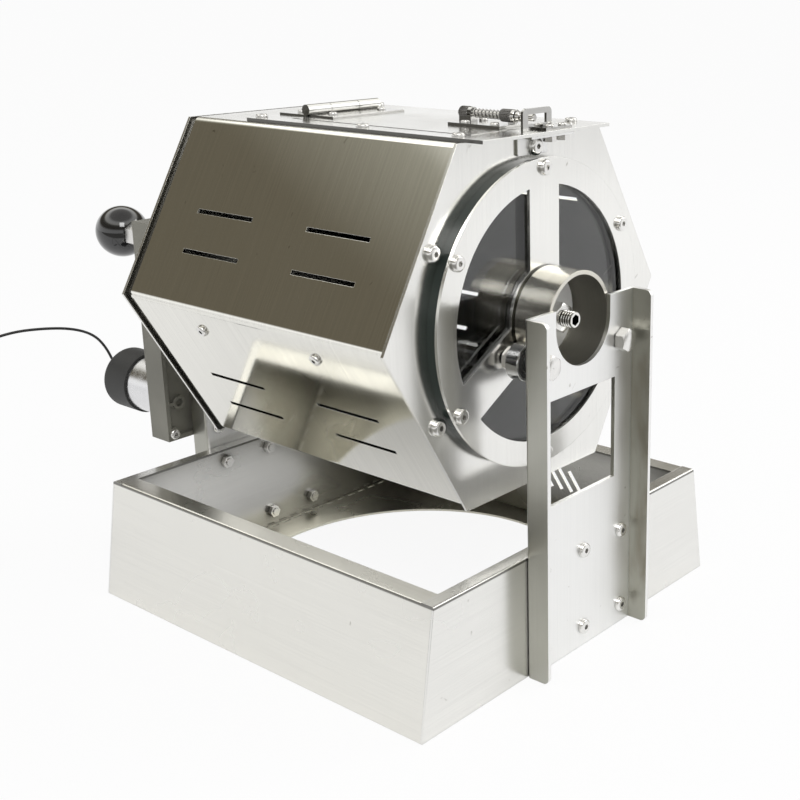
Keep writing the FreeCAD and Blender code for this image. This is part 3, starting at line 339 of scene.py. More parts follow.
def turned(name, colour, roughness):
    """Turned tube, with painted shade in its bore and a painted ring of shade at its foot."""
    material, nodes, links, bsdf = shader(name, 1.0)
    lines = texture(nodes, links, 1.0, 4.0, GRAIN_AROUND)
    clouds = texture(nodes, links, 30.0, 4.0, distortion=0.4)
    skin = tinted(nodes, links, lines, scaled(colour, 0.93), scaled(colour, 1.07))
    skin = shaded_and_stained(nodes, links, skin, spread(nodes, links, clouds, 0.0, 0.25, 0.45, 0.75), STAIN_AND_SHADE)
    # Painted shade in corners and seams.
    skin = corner_shaded(nodes, links, skin, *SEAM_SHADE)
    bore = inward(nodes, links, DRUM_CENTRE, (1.0, 0.0, 1.0))
    # Painted shade on the bore's inner faces.
    skin = shaded_and_stained(nodes, links, skin, spread(nodes, links, bore, 0.0, 0.80, 0.0, 1.0), BORE_SHADE)
    # Painted ring of shade at the foot, on the outer faces.
    along = size_of(nodes, links, component(nodes, links, "Object", "Y"))
    foot = spread(nodes, links, along, 0.97, 0.0, *NECK_FOOT)
    outside = spread(nodes, links, bore, 1.0, 0.0, 0.0, 1.0)
    links.new(shaded_and_stained(nodes, links, skin, product(nodes, links, foot, outside)),
              bsdf.inputs["Base Color"])
    links.new(spread(nodes, links, bore, roughness, 0.5, 0.0, 1.0), bsdf.inputs["Roughness"])
    links.new(bumped(nodes, links, lines, 0.05, GRAIN_DEPTH, rounded_edges(nodes, SHEET_EDGE)),
              bsdf.inputs["Normal"])
    return material


def plated(name, colour, roughness, edge=0.15 * MM, cut_sides=0.0):
    """Plated or ground steel without visible grain."""
    material, nodes, links, bsdf = shader(name, 1.0)
    clouds = texture(nodes, links, 220.0, 3.0)
    skin = tinted(nodes, links, clouds, scaled(colour, 0.93), colour)
    if cut_sides:
        # Painted shade on cut sides.
        skin = shaded_and_stained(nodes, links, skin, across_x(nodes, links, cut_sides))
    # Painted shade in corners and sockets.
    links.new(corner_shaded(nodes, links, skin, *PLATED_SHADE), bsdf.inputs["Base Color"])
    links.new(spread(nodes, links, clouds, roughness * 0.8, roughness * 1.3),
              bsdf.inputs["Roughness"])
    links.new(rounded_edges(nodes, edge), bsdf.inputs["Normal"])
    return material


def hub_plate(name):
    """Brushed plate whose middle, inside the neck, is matt."""
    material = brushed(name, STAINLESS, 0.20, GRAIN_Z, 0.03, 0.06)
    nodes, links = material.node_tree.nodes, material.node_tree.links
    links.new(spread(nodes, links, axis_distance(nodes, links), 0.1, 1.0, *HUB_EDGE),
              nodes["Principled BSDF"].inputs["Metallic"])
    return material


def threaded(name):
    """Bright thread with painted shade in its grooves."""
    material, nodes, links, bsdf = shader(name, 1.0)
    bsdf.inputs["Roughness"].default_value = 0.16
    # Painted shade in the grooves, on the thread's sides but not its flat ends.
    facing = size_of(nodes, links, component(nodes, links, "Normal", "Y"))
    side = spread(nodes, links, facing, 1.0, 0.0, *THREAD_SIDE)
    groove = spread(nodes, links, axis_distance(nodes, links), 0.96, 0.0, *GROOVE)
    crest = nodes.new("ShaderNodeRGB")
    crest.outputs["Color"].default_value = CREST
    links.new(shaded_and_stained(nodes, links, crest.outputs["Color"], product(nodes, links, side, groove)),
              bsdf.inputs["Base Color"])
    return material


def moulded(name, colour, roughness, bump=0.15, coat=0.0):
    """Rubber or plastic with a faint pebbled surface."""
    material, nodes, links, bsdf = shader(name)
    grain = texture(nodes, links, 900.0, 2.0)
    clouds = texture(nodes, links, 30.0, 3.0)
    links.new(tinted(nodes, links, clouds, scaled(colour, 0.8), scaled(colour, 1.3)),
              bsdf.inputs["Base Color"])
    links.new(spread(nodes, links, clouds, roughness * 0.85, roughness * 1.15),
              bsdf.inputs["Roughness"])
    bsdf.inputs["Coat Weight"].default_value = coat
    links.new(bumped(nodes, links, grain, bump, GRAIN_DEPTH), bsdf.inputs["Normal"])
    return material


def casting(name, colour):
    """Painted die casting with a fine sandy texture."""
    material, nodes, links, bsdf = shader(name, 0.35)
    sand = texture(nodes, links, 1600.0, 2.0)
    clouds = texture(nodes, links, 25.0, 3.0)
    links.new(tinted(nodes, links, clouds, scaled(colour, 0.85), scaled(colour, 1.12)),
              bsdf.inputs["Base Color"])
    bsdf.inputs["Roughness"].default_value = 0.45
    links.new(bumped(nodes, links, sand, 0.2, 0.08 * MM, rounded_edges(nodes, 0.6 * MM)),
              bsdf.inputs["Normal"])
    return material


def window_glass(name):
    """Clear pane across Y with a dark green edge."""
    material, nodes, links, bsdf = shader(name)
    haze = texture(nodes, links, 18.0, 3.0)
    bsdf.inputs["Base Color"].default_value = CLEAR
    links.new(spread(nodes, links, haze, 0.01, 0.03), bsdf.inputs["Roughness"])
    bsdf.inputs["Transmission Weight"].default_value = 1.0
    bsdf.inputs["IOR"].default_value = 1.5
    edge = nodes.new("ShaderNodeBsdfPrincipled")
    edge.inputs["Base Color"].default_value = PANE_RIM
    edge.inputs["Roughness"].default_value = 0.08
    edge.inputs["Specular IOR Level"].default_value = 0.18
    facing = size_of(nodes, links, component(nodes, links, "Normal", "Y"))
    mix = nodes.new("ShaderNodeMixShader")
    links.new(spread(nodes, links, facing, 0.0, 1.0, *PANE_FACE), mix.inputs["Fac"])
    links.new(edge.outputs["BSDF"], mix.inputs[1])
    links.new(bsdf.outputs["BSDF"], mix.inputs[2])
    links.new(mix.outputs["Shader"], nodes["Material Output"].inputs["Surface"])
    return material


def make_materials():
    return {
        "sheet_x": brushed("sheet_x", STAINLESS, 0.24, GRAIN_X, 0.03, 0.06, hollow=0.85,
                           fold=0.75),
        "sheet_y": brushed("sheet_y", WARM_STEEL, 0.24, GRAIN_Y, 0.025, 0.06, hollow=0.9,
                           shade_from=0.6, fold=0.75),
        "tray_floor": brushed("tray_floor", FLOOR_STEEL, 0.30, GRAIN_X, 0.04, 0.06),
        "sheet_z": brushed("sheet_z", STAND_STEEL, 0.37, GRAIN_Z, 0.02, 0.05, flanges=True),
        "plate_in": brushed("plate_in", STAINLESS, 0.20, GRAIN_Z, 0.03, 0.06, hollow=0.85,
                            in_drum=True),
        "drum_skin": brushed("drum_skin", DRUM_STEEL, 0.075, GRAIN_AROUND, 0.05, 0.03,
                             hollow=0.87, in_drum=True),
        "drum_top": brushed("drum_top", STAINLESS, 0.2, GRAIN_Y, 0.03, 0.06, cut_sides=0.85),
        "turned": turned("turned", TUBE_STEEL, 0.24),
        "hub_plate": hub_plate("hub_plate"),
        "thread": threaded("thread"),
        "fastener": plated("fastener", (0.88, 0.87, 0.85), 0.21),
        "bearing": plated("bearing", (0.62, 0.62, 0.61), 0.12),
        "chrome": plated("chrome", (0.62, 0.615, 0.595), 0.13, cut_sides=0.9),
        "gear": plated("gear", (0.55, 0.54, 0.50), 0.3),
        "latch_dark": plated("latch_dark", (0.16, 0.155, 0.15), 0.28, 0.05 * MM),
        "spring_wire": plated("spring_wire", (0.60, 0.59, 0.57), 0.16, 0.02 * MM),
        "can": plated("can", (0.83, 0.83, 0.84), 0.22),
        "cast": casting("cast", (0.21, 0.205, 0.175)),
        "rubber": moulded("rubber", (0.030, 0.030, 0.029), 0.55),
        "jacket": moulded("jacket", (0.018, 0.018, 0.018), 0.42, 0.05),
        "plastic": moulded("plastic", (0.028, 0.028, 0.028), 0.38, 0.2),
        "phenolic": moulded("phenolic", (0.010, 0.010, 0.011), 0.07, 0.0, coat=1.0),
        "glass": window_glass("glass"),
    }


NODE_FINISH = {
    "base_plate": "tray_floor", "base_front_wall": "sheet_x", "base_rear_wall": "sheet_x",
    "base_left_wall": "sheet_y", "base_right_wall": "sheet_y",
    "front_stand": "sheet_z", "rear_stand": "sheet_z",
    "stand_screws": "fastener", "stand_nuts": "fastener", "bearing_bolts": "fastener",
    "bearing_spacers": "bearing", "bearing_inner_rings": "bearing",
    "bearing_ring_front_left": "bearing", "bearing_ring_front_right": "bearing",
    "bearing_ring_rear_left": "bearing", "bearing_ring_rear_right": "bearing",
    "gearbox_housing": "cast", "gearbox_cover": "cast", "gearbox_screws": "fastener",
    "motor_can": "can", "motor_cap": "rubber", "motor_pinion": "gear", "idler_gear": "gear",
    "output_gear": "gear", "lead": "jacket", "lead_coil": "jacket", "lead_plug": "plastic",
    "drum_front_plate": "plate_in", "drum_rear_plate": "plate_in", "drum_panel_top": "drum_top",
    "drum_panel_upper_left": "drum_skin", "drum_panel_lower_left": "drum_skin",
    "drum_panel_bottom": "drum_skin", "drum_panel_lower_right": "drum_skin",
    "drum_panel_upper_right": "drum_skin", "drum_front_flange": "plate_in",
    "drum_rear_flange": "plate_in", "glass_disc": "glass", "spider_plate": "hub_plate",
    "front_neck": "turned", "rear_neck": "turned", "spider_screws": "fastener",
    "flange_screws": "fastener", "center_rod": "fastener", "rod_nuts": "fastener",
    "vanes": "sheet_y", "vane_screws": "fastener", "frame_plate": "drum_top",
    "frame_screws": "fastener", "hinge_rear_leaf": "chrome", "hinge_front_leaf": "chrome",
    "hinge_pin": "chrome", "keeper": "chrome", "overhang_bracket": "sheet_z",
    "knob_ball": "phenolic", "door_plate": "drum_top", "door_screws": "fastener",
    "latch_base": "chrome", "latch_spring": "spring_wire", "latch_bolt": "latch_dark",
}


def finish_nodes(materials):
    for node, finish in NODE_FINISH.items():
        for slot in bpy.data.objects[node].material_slots:
            slot.material = materials[finish]


# ---------------------------------------------------------------- mesh helpers
SMOOTH_ANGLE = math.radians(32)
AXIS = 0.05 * MM              # radius kept along an axis, so that no faces collapse
THREAD_PITCH = 1.75 * MM
THREAD_DEPTH = 1.15 * MM


def piece(name, points, faces, material, body, stands_for=(), ride=True):
    """Mesh object in the row frame; with ride it moves with a body."""
    mesh = bpy.data.meshes.new(name)
    mesh.from_pydata([Vector(p) for p in points], [], faces)
    mesh.validate()
    mesh.shade_smooth()
    mesh.set_sharp_from_angle(angle=SMOOTH_ANGLE)
    mesh.materials.append(material)
    obj = bpy.data.objects.new(name, mesh)
    bpy.context.scene.collection.objects.link(obj)
    if ride:
        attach(obj, body)
    if stands_for:
        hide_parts(*stands_for)
    return obj


def quads(rows, columns, close_rows):
    """Faces of a grid whose columns close on themselves."""
    faces = []
    for i in range(rows if close_rows else rows - 1):
        a, b = i * columns, (i + 1) % rows * columns
        for j in range(columns):
            k = (j + 1) % columns
            faces.append((a + j, a + k, b + k, b + j))
    return faces


def ring(centre, reach, y, steps):
    """Points around the Y axis; reach and y are numbers, or give one at an angle."""
    points = []
    for k in range(steps):
        angle = 2 * math.pi * k / steps
        radius = reach(angle) if callable(reach) else reach
        along = y(angle) if callable(y) else y
        points.append((centre.x + radius * math.cos(angle), along,
                       centre.z + radius * math.sin(angle)))
    return points


def lathe(centre, profile, steps=72, outline=None):
    """Closed solid turned about the Y axis through centre.

    profile is a closed loop of (radius, y); outline, if given, changes a radius
    at an angle."""
    points = []
    for radius, y in profile:
        reach = (lambda angle: outline(radius, angle)) if outline else radius
        points += ring(centre, reach, y, steps)
    return points, quads(len(profile), steps, True)


def joined(*solids):
    """One mesh from several (points, faces) pairs."""
    points, faces = [], []
    for part_points, part_faces in solids:
        base = len(points)
        points += part_points
        faces += [tuple(base + i for i in face) for face in part_faces]
    return points, faces


def hexagon(flats):
    """Gives the reach of a hexagon's outline at an angle, with a corner up."""
    def reach(angle):
        offset = (angle + math.pi / 6) % (math.pi / 3) - math.pi / 6
        return flats / 2 / math.cos(offset)
    return reach


def hex_solid(centre, flats, bore, y0, y1, steps=72):
    """Hexagon nut or bolt head with 30 degree chamfers at both ends."""
    corner, face = hexagon(flats), flats * 0.485
    slope = math.tan(math.radians(30))
    points = []
    for reach, y, side in ((bore, y0, 0), (face, y0, 0), (corner, y0, 1), (corner, y1, -1),
                           (face, y1, 0), (bore, y1, 0)):
        points += ring(centre, reach, lambda angle: y + side * (corner(angle) - face) * slope,
                       steps)
    return points, quads(6, steps, True)


def thread(centre, crest, y0, y1, socket=None, steps=48, per_turn=8):
    """Threaded rod with helical crests; socket is (across flats, depth) at its y0 end."""
    rows = int(round((y1 - y0) / THREAD_PITCH * per_turn)) + 1
    points = []
    for i in range(rows):
        y = y0 + (y1 - y0) * i / (rows - 1)
        taper = min(1.0, (i + 2) / per_turn, (rows - i + 1) / per_turn)

        def flank(angle):
            share = (y / THREAD_PITCH - angle / (2 * math.pi)) % 1.0
            groove = max(0.0, 1.25 * (1 - abs(2 * share - 1)) - 0.25)
            return crest - THREAD_DEPTH * (groove * taper + 0.35 * (1 - taper))

        points += ring(centre, flank, y, steps)
    points += ring(centre, AXIS, y1, steps)
    if socket:
        flats, depth = socket
        points += ring(centre, AXIS, y0 + depth, steps)
        points += ring(centre, hexagon(flats), y0 + depth, steps)
        points += ring(centre, hexagon(flats), y0, steps)
    else:
        points += ring(centre, AXIS, y0, steps)
    return points, quads(len(points) // steps, steps, True)


def helix(centre, radius, wire, y0, y1, turns, per_turn=28, around=10):
    """Wire coiled about the Y axis through centre, with closed ends."""
    count = int(turns * per_turn) + 1
    points = []
    for i in range(count):
        share = i / (count - 1)
        angle = 2 * math.pi * turns * share
        y = y0 + (y1 - y0) * share
        for k in range(around):
            side = 2 * math.pi * k / around
            reach = radius + wire * math.cos(side)
            points.append((centre.x + reach * math.cos(angle), y + wire * math.sin(side),
                           centre.z + reach * math.sin(angle)))
    faces = quads(count, around, False)
    faces.append(tuple(range(around)))
    faces.append(tuple(reversed(range((count - 1) * around, count * around))))
    return points, faces


def middle(node):
    low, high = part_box(node)
    return (low + high) / 2


# ---------------------------------------------------------------- bearings
def bearing_profile(outer, y0, y1):
    """Rolling ring with its recessed shields; closed loop of (radius, y)."""
    lip, shield, bore = outer * 0.84, 0.6 * MM, outer * 0.556
    chamfer = 0.45 * MM
    step = 0.25 * MM
    return [
        (lip, y0 + shield), (lip, y0 + step), (lip + step, y0), (outer - chamfer, y0),
        (outer, y0 + chamfer), (outer, y1 - chamfer), (outer - chamfer, y1), (lip + step, y1),
        (lip, y1 - step), (lip, y1 - shield), (bore, y1 - shield), (bore, y0 + shield),
    ]


def seal_profile(outer, face, sign):
    """Black seal set into a ring's face; sign is +1 where the ring lies behind it."""
    lip, bore = outer * 0.835, outer * 0.60
    front, back, groove = (face + sign * depth * MM for depth in (0.35, 0.62, 0.5))
    return [(bore, back), (bore, front), (outer * 0.68, front), (outer * 0.70, groove),
            (outer * 0.73, groove), (outer * 0.75, front), (lip, front), (lip, back)]


def build_bearings(materials):
    for end in ("front", "rear"):
        for side in ("left", "right"):
            node = "bearing_ring_%s_%s" % (end, side)
            low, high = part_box(node)
            centre, outer = middle(node), (high.z - low.z) / 2
            points, faces = lathe(centre, bearing_profile(outer, low.y, high.y))
            body = "ring_%s_%s" % (end, side)
            piece(body, points, faces, materials["bearing"], body, (node,))
            seals = [lathe(centre, seal_profile(outer, y, sign))
                     for y, sign in ((low.y, 1), (high.y, -1))]
            points, faces = joined(*seals)
            piece("seal_%s_%s" % (end, side), points, faces, materials["rubber"], body)


def build_bolts(materials):
    """Four M8 bolts: chamfered head outside the stand, nut behind the bearing."""
    flats, head, nut_height, shank = 13.0 * MM, 7.0 * MM, 6.5 * MM, 4.0 * MM
    hollow, past_nut = 0.2 * MM, 1.0 * MM
    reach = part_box("bearing_bolts")[1].y
    for end, sign in (("front", -1), ("rear", 1)):
        for side in ("left", "right"):
            node = "bearing_ring_%s_%s" % (end, side)
            centre = middle(node)
            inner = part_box(node)[0 if sign > 0 else 1].y
            solids = []
            for a, b in ((sign * reach, sign * (reach - head)), (inner, inner - sign * nut_height)):
                y0, y1 = sorted((a, b))
                solids.append(hex_solid(centre, flats, hollow, y0, y1))
            y0, y1 = sorted((sign * (reach - head), inner - sign * (nut_height + past_nut)))
            solids.append(lathe(centre, [(hollow, y0), (shank, y0), (shank, y1), (hollow, y1)], 32))
            points, faces = joined(*solids)
            piece("bolt_%s_%s" % (end, side), points, faces, materials["fastener"], "root",
                  ("bearing_bolts",))


# ---------------------------------------------------------------- stud and rod
def build_rod(materials):
    """Front stud with its hexagon socket, and the rod behind the drum."""
    centre = middle("center_rod")
    low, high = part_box("center_rod")
    radius, reach = (high.x - low.x) / 2, 7.0 * MM
    stud_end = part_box("drum_front_plate")[0].y + reach
    rod_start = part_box("drum_rear_plate")[0].y - reach
    flats, depth = 6.0 * MM, 8.0 * MM
    solids = (("front_stud", low.y, stud_end, (flats, depth)),
              ("rear_rod", rod_start, high.y, None))
    for name, y0, y1, socket in solids:
        points, faces = thread(centre, radius, y0, y1, socket)
        piece(name, points, faces, materials["thread"], "drum",
              ("center_rod",))


def build_rod_nuts(materials):
    centre = middle("center_rod")
    bore = 4.3 * MM
    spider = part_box("spider_plate")[0].y
    front_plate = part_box("drum_front_plate")[0].y
    plate_inside, rear_plate = (corner.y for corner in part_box("drum_rear_plate"))
    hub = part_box("output_gear")[1].y
    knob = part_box("knob_ball")[0].y
    narrow, wide = 16.0 * MM, 19.0 * MM
    lock, height = 6.0 * MM, 10.0 * MM
    nuts = (("clamp", narrow, spider - 14.5 * MM, spider),
            ("front_lock", narrow, front_plate, front_plate + lock),
            ("rear_lock", narrow, plate_inside - lock, plate_inside),
            ("rear", narrow, rear_plate, rear_plate + height),
            ("hub", narrow, hub, hub + height),
            ("knob", wide, knob - 13.5 * MM, knob))
    for name, flats, y0, y1 in nuts:
        points, faces = hex_solid(centre, flats, bore, y0, y1)
        piece("nut_" + name, points, faces, materials["fastener"], "drum",
              ("rod_nuts",))


# ---------------------------------------------------------------- latch
KNURLED_STEPS = 132           # six to each tooth


def knurled(radius, angle):
    """Radius at an angle: toothed, but round up to the plain radius."""
    teeth, depth, plain = 22, 0.22 * MM, 2.5 * MM
    return radius - depth * abs(math.sin(teeth / 2 * angle)) if radius > plain else radius


def build_latch(materials):
    low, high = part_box("latch_bolt")
    centre = Vector((0, 0, (low.z + high.z) / 2))
    rod, grip, collar, nose = 2.0 * MM, 3.8 * MM, 3.0 * MM, 2.2 * MM
    grip_front, grip_rear, collar_front = -101.7 * MM, -90.6 * MM, -105.0 * MM
    band, edge = 2.6 * MM, 0.3 * MM
    points, faces = lathe(centre, [
        (rod, grip_front + band), (grip - edge, grip_front + band),
        (grip, grip_front + band + edge), (grip, grip_rear - edge), (grip - edge, grip_rear),
        (rod, grip_rear)], KNURLED_STEPS, knurled)
    piece("bolt_grip", points, faces, materials["latch_dark"], "latch",
          ("latch_bolt",))
    points, faces = lathe(centre, [
        (AXIS, low.y), (nose - 2 * edge, low.y), (nose, low.y + 2 * edge), (nose, collar_front),
        (collar - edge, collar_front), (collar, collar_front + edge),
        (collar, grip_front - 2 * edge), (nose, grip_front - edge), (nose, grip_front),
        (grip - edge, grip_front), (grip, grip_front + edge), (grip, grip_front + band - edge),
        (grip - edge, grip_front + band), (rod, grip_front + band), (rod, high.y - edge),
        (rod - edge, high.y), (AXIS, high.y)], 40)
    piece("bolt_bar", points, faces, materials["spring_wire"], "latch",
          ("latch_bolt",))

    spring_low, spring_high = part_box("latch_spring")
    wire, outer, turns = 0.33 * MM, 2.85 * MM, 7.5
    points, faces = helix(centre, outer - wire, wire, spring_high.y - wire,
                          spring_low.y + wire, turns)
    spring = piece("return_spring", points, faces, materials["spring_wire"], "door",
                   ("latch_spring",), ride=False)
    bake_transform(spring)

    guide, bore = 3.75 * MM, 3.45 * MM
    guide_front, guide_rear = -68.4 * MM, -59.0 * MM
    points, faces = lathe(centre, [
        (bore, guide_front + band), (guide - edge, guide_front + band),
        (guide, guide_front + band + edge), (guide, guide_rear - edge),
        (guide - edge, guide_rear + edge), (bore, guide_rear + edge)], KNURLED_STEPS, knurled)
    piece("guide_sleeve", points, faces, materials["latch_dark"], "door")


# ---------------------------------------------------------------- lead
def build_plug(materials):
    """Barrel plug; its profiles run back from the tip."""
    low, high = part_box("lead_plug")
    centre = middle("lead_plug")
    radius, depth = (high.x - low.x) / 2, high.y - low.y
    tip_length, tip, hollow = 9.5 * MM, 2.75 * MM, 1.05 * MM
    relief, tail, cord, edge = 14.0 * MM, 2.2 * MM, LEAD_DIAMETER / 2, 0.7 * MM
    grip_end = depth - relief
    handle = [(hollow, tip_length), (radius - edge, tip_length), (radius, tip_length + edge),
              (radius, grip_end - 4 * edge), (radius - 2 * edge, grip_end)]
    rib, ribs, groove = 1.1 * MM, 5, 0.5 * MM
    for k in range(ribs):
        back = grip_end + (2 * k + 1) * rib
        share = (k + 1) / ribs
        wide = (radius - 2 * edge) * (1 - share) + tail * share
        handle += [(wide, back), (wide, back + 0.6 * rib), (wide - groove, back + 0.8 * rib),
                   (wide - groove, back + 1.8 * rib)]
    handle += [(tail, depth), (cord * 0.5, depth), (hollow * 0.5, tip_length + edge)]
    inset = 0.4 * MM
    barrel = [(hollow, inset), (tip - inset, 0.0), (tip, inset), (tip, tip_length + edge),
              (hollow, tip_length + edge)]
    made = []
    for name, profile, finish, slot in (("plug_handle", handle, "plastic", "black_plastic"),
                                        ("plug_barrel", barrel, "chrome", "zinc_fasteners")):
        loop = [(reach, high.y - back) for reach, back in reversed(profile)]
        points, faces = lathe(centre, loop, 40)
        made.append(piece(name, points, faces, materials[finish], "root",
                          ("lead_plug",)))
    return made


def coil_points():
    """Turns of the wound lead, anticlockwise from its left side, shifting late in each turn."""
    points = []
    radius, height = COIL_START
    x, y = COIL_CENTRE
    for next_radius, next_height in COIL_TURNS:
        for k in range(TURN_POINTS):
            share = k / TURN_POINTS
            across = min(max((share - 0.5) * 4, 0.0), 1.0)
            rise = min(max((share - 0.75) * 4, 0.0), 1.0)
            r = radius + (next_radius - radius) * across
            z = height + (next_height - height) * rise
            angle = math.pi + 2 * math.pi * share
            points.append((x + r * math.cos(angle), y + r * math.sin(angle), z))
        radius, height = next_radius, next_height
    for k in range(TURN_POINTS // 2 + 1):
        angle = math.pi + 2 * math.pi * k / TURN_POINTS
        points.append((x + radius * math.cos(angle), y + radius * math.sin(angle), height))
    return points


def build_lead(materials, plug):
    route = [LEAD_EXIT, *LEAD_ROUTE, *coil_points(), *COIL_TAIL]
    curve = bpy.data.curves.new("supply_lead", "CURVE")
    curve.dimensions = "3D"
    curve.bevel_depth = LEAD_DIAMETER / 2
    curve.bevel_resolution = 4
    curve.use_fill_caps = True
    curve.resolution_u = 6
    spline = curve.splines.new("NURBS")
    spline.points.add(len(route) - 1)
    for point, place in zip(spline.points, route):
        point.co = (*(c * MM for c in place), 1.0)
    spline.order_u = 3
    spline.use_endpoint_u = True
    curve.materials.append(materials["jacket"])
    lead = bpy.data.objects.new("supply_lead", curve)
    bpy.context.scene.collection.objects.link(lead)
    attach(lead, "root")
    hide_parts("lead", "lead_coil")


# ---------------------------------------------------------------- studio
def any_ray(nodes, links, path, *kinds):
    """1 for the named kinds of ray, else 0."""
    value = path.outputs[kinds[0]]
    for kind in kinds[1:]:
        either = nodes.new("ShaderNodeMath")
        either.operation = "MAXIMUM"
        links.new(value, either.inputs[0])
        links.new(path.outputs[kind], either.inputs[1])
        value = either.outputs["Value"]
    return value


def near_side(nodes, links):
    """Up to 0.8 on the floor to the front left: a painted dark reflection, which only mirrors show.

    It begins and is full at these distances from the middle, in metres."""
    front_left, begins, full = (-0.70, -0.71, 0.0), 0.24, 0.38
    place, towards = nodes.new("ShaderNodeTexCoord"), nodes.new("ShaderNodeVectorMath")
    towards.operation = "DOT_PRODUCT"
    towards.inputs[1].default_value = front_left
    links.new(place.outputs["Object"], towards.inputs[0])
    return spread(nodes, links, towards.outputs["Value"], 0.0, 0.8, begins, full)


def build_floor():
    """Pale floor that reads as white and keeps a soft shadow.

    A share of what each kind of ray sees of it is the floor's own glow."""
    seen_glow, mirrored_glow, other_glow = 0.90, 0.30, 0.45
    half, drop = 60.0, 0.3 * MM
    mesh = bpy.data.meshes.new("floor")
    mesh.from_pydata([(-half, -half, -drop), (half, -half, -drop), (half, half, -drop),
                      (-half, half, -drop)], [], [(0, 1, 2, 3)])
    floor = bpy.data.objects.new("floor", mesh)
    bpy.context.scene.collection.objects.link(floor)
    material = bpy.data.materials.new("floor")
    material.use_nodes = True
    nodes, links = material.node_tree.nodes, material.node_tree.links
    nodes.clear()
    output = nodes.new("ShaderNodeOutputMaterial")
    matte = nodes.new("ShaderNodeBsdfDiffuse")
    matte.inputs["Color"].default_value = (0.9, 0.9, 0.9, 1.0)
    glow = nodes.new("ShaderNodeEmission")
    glow.inputs["Strength"].default_value = 1.0
    mix = nodes.new("ShaderNodeMixShader")
    path = nodes.new("ShaderNodeLightPath")
    mirrored, share = (nodes.new("ShaderNodeMapRange") for _ in range(2))
    mirrored.inputs["To Min"].default_value = other_glow
    mirrored.inputs["To Max"].default_value = mirrored_glow
    links.new(path.outputs["Is Glossy Ray"], mirrored.inputs["Value"])
    links.new(mirrored.outputs["Result"], share.inputs["To Min"])
    share.inputs["To Max"].default_value = seen_glow
    links.new(any_ray(nodes, links, path, "Is Camera Ray", "Is Transmission Ray"),
              share.inputs["Value"])
    links.new(share.outputs["Result"], mix.inputs["Fac"])
    links.new(matte.outputs["BSDF"], mix.inputs[1])
    links.new(glow.outputs["Emission"], mix.inputs[2])
    # Painted dark reflection: glossy rays see the floor to the front left glow dark.
    dim, dark = nodes.new("ShaderNodeMixShader"), nodes.new("ShaderNodeEmission")
    dark.inputs["Color"].default_value = (0.10, 0.095, 0.07, 1.0)
    links.new(product(nodes, links, path.outputs["Is Glossy Ray"], near_side(nodes, links)),
              dim.inputs["Fac"])
    links.new(mix.outputs["Shader"], dim.inputs[1])
    links.new(dark.outputs["Emission"], dim.inputs[2])
    links.new(dim.outputs["Shader"], output.inputs["Surface"])
    mesh.materials.append(material)


# Brightness of the room, as metal reflects it, by the sine of the elevation: white
# below the horizon and up to 12 degrees, a dark wall from 19 to 28 degrees, a bright
# band from 39 to 48 degrees and a dimmer ceiling.
DARK_WALL = (0.128, 0.113, 0.082)
ROOM = (
    (0.00, (1.0, 1.0, 1.0)), (0.20, (1.0, 1.0, 0.99)), (0.32, DARK_WALL), (0.47, DARK_WALL),
    (0.55, (0.30, 0.29, 0.24)), (0.63, (1.6, 1.58, 1.5)), (0.74, (1.6, 1.6, 1.56)),
    (0.84, (0.6, 0.59, 0.56)), (1.00, (0.5, 0.49, 0.47)),
)
AMBIENT = 0.75                # the room's brightness, as matt surfaces are lit by it


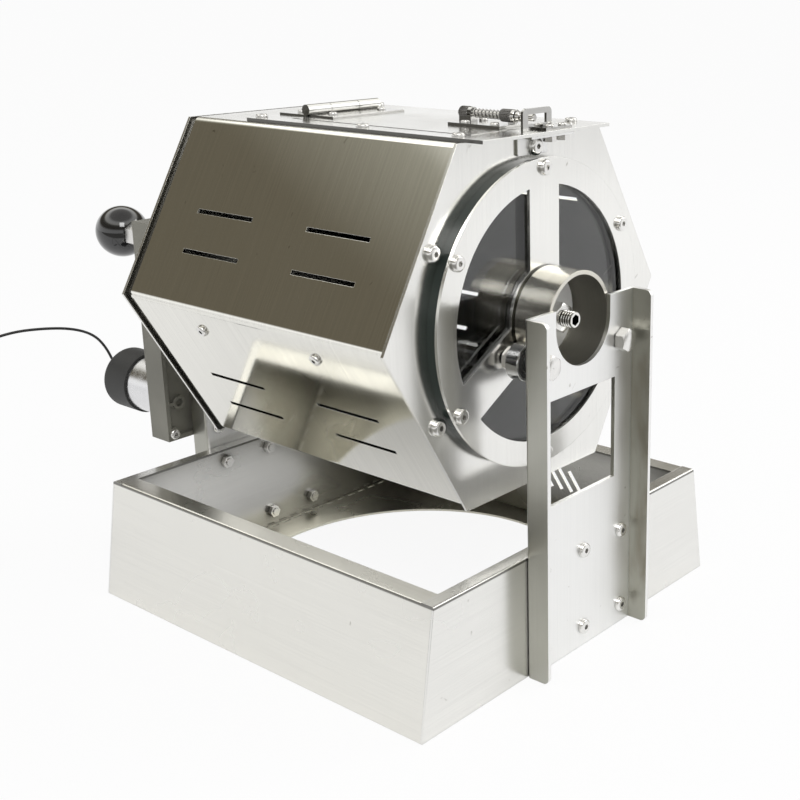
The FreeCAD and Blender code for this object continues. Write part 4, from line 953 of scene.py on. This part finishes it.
def build_world():
    world = bpy.data.worlds.new("studio")
    bpy.context.scene.world = world
    world.use_nodes = True
    nodes, links = world.node_tree.nodes, world.node_tree.links
    nodes.clear()
    output = nodes.new("ShaderNodeOutputWorld")
    path = nodes.new("ShaderNodeLightPath")
    place = nodes.new("ShaderNodeTexCoord")
    split = nodes.new("ShaderNodeSeparateXYZ")
    ramp = nodes.new("ShaderNodeValToRGB")
    stops = ramp.color_ramp.elements
    while len(stops) < len(ROOM):
        stops.new(0.5)
    for stop, (position, colour) in zip(stops, ROOM):
        stop.position = position
        stop.color = (*colour, 1.0)
    links.new(place.outputs["Generated"], split.inputs["Vector"])
    links.new(split.outputs["Z"], ramp.inputs["Fac"])
    ambient, white, room = (nodes.new("ShaderNodeBackground") for _ in range(3))
    ambient.inputs["Strength"].default_value = AMBIENT
    white.inputs["Strength"].default_value = 1.0
    for background in (ambient, white):
        background.inputs["Color"].default_value = (1.0, 1.0, 1.0, 1.0)
    links.new(ramp.outputs["Color"], room.inputs["Color"])
    lit, shown = nodes.new("ShaderNodeMixShader"), nodes.new("ShaderNodeMixShader")
    links.new(path.outputs["Is Glossy Ray"], lit.inputs["Fac"])
    links.new(ambient.outputs["Background"], lit.inputs[1])
    links.new(room.outputs["Background"], lit.inputs[2])
    links.new(any_ray(nodes, links, path, "Is Camera Ray", "Is Transmission Ray"),
              shown.inputs["Fac"])
    links.new(lit.outputs["Shader"], shown.inputs[1])
    links.new(white.outputs["Background"], shown.inputs[2])
    links.new(shown.outputs["Shader"], output.inputs["Surface"])


def softbox(name, place, target, size, power):
    light = bpy.data.lights.new(name, "AREA")
    light.shape = "RECTANGLE"
    light.size, light.size_y = size
    light.energy = power
    lamp = bpy.data.objects.new(name, light)
    bpy.context.scene.collection.objects.link(lamp)
    lamp.location = place
    lamp.rotation_euler = (Vector(target) - Vector(place)).to_track_quat("-Z", "Y").to_euler()


def build_lights():
    centre = (0.0, 0.0, 0.2)
    softbox("key", (-1.1, -1.5, 1.9), centre, (0.9, 0.9), 16.0)
    softbox("fill", (1.7, -1.2, 1.3), centre, (1.2, 1.2), 10.0)


def build_camera():
    data = bpy.data.cameras.new("camera")
    data.sensor_fit = "HORIZONTAL"
    data.sensor_width = SENSOR
    data.lens = FOCAL_PIXELS / FRAME_PIXELS * SENSOR
    data.shift_x = (FRAME_PIXELS / 2 - CENTRE_COLUMN) / FRAME_PIXELS
    data.shift_y = (CENTRE_ROW - FRAME_PIXELS / 2) / FRAME_PIXELS
    data.clip_start = 0.01
    camera = bpy.data.objects.new("camera", data)
    bpy.context.scene.collection.objects.link(camera)
    camera.location = CAMERA_PLACE
    camera.rotation_euler = Euler((math.radians(90 - CAMERA_PITCH), 0.0,
                                   math.radians(CAMERA_TURN)))
    bpy.context.scene.camera = camera


def main():
    materials = make_materials()
    finish_nodes(materials)
    build_lead(materials, build_plug(materials))
    build_bearings(materials)
    build_bolts(materials)
    build_rod(materials)
    build_rod_nuts(materials)
    build_latch(materials)
    build_floor()
    build_world()
    build_lights()
    build_camera()
    bpy.context.scene.view_settings.view_transform = "Standard"


main()
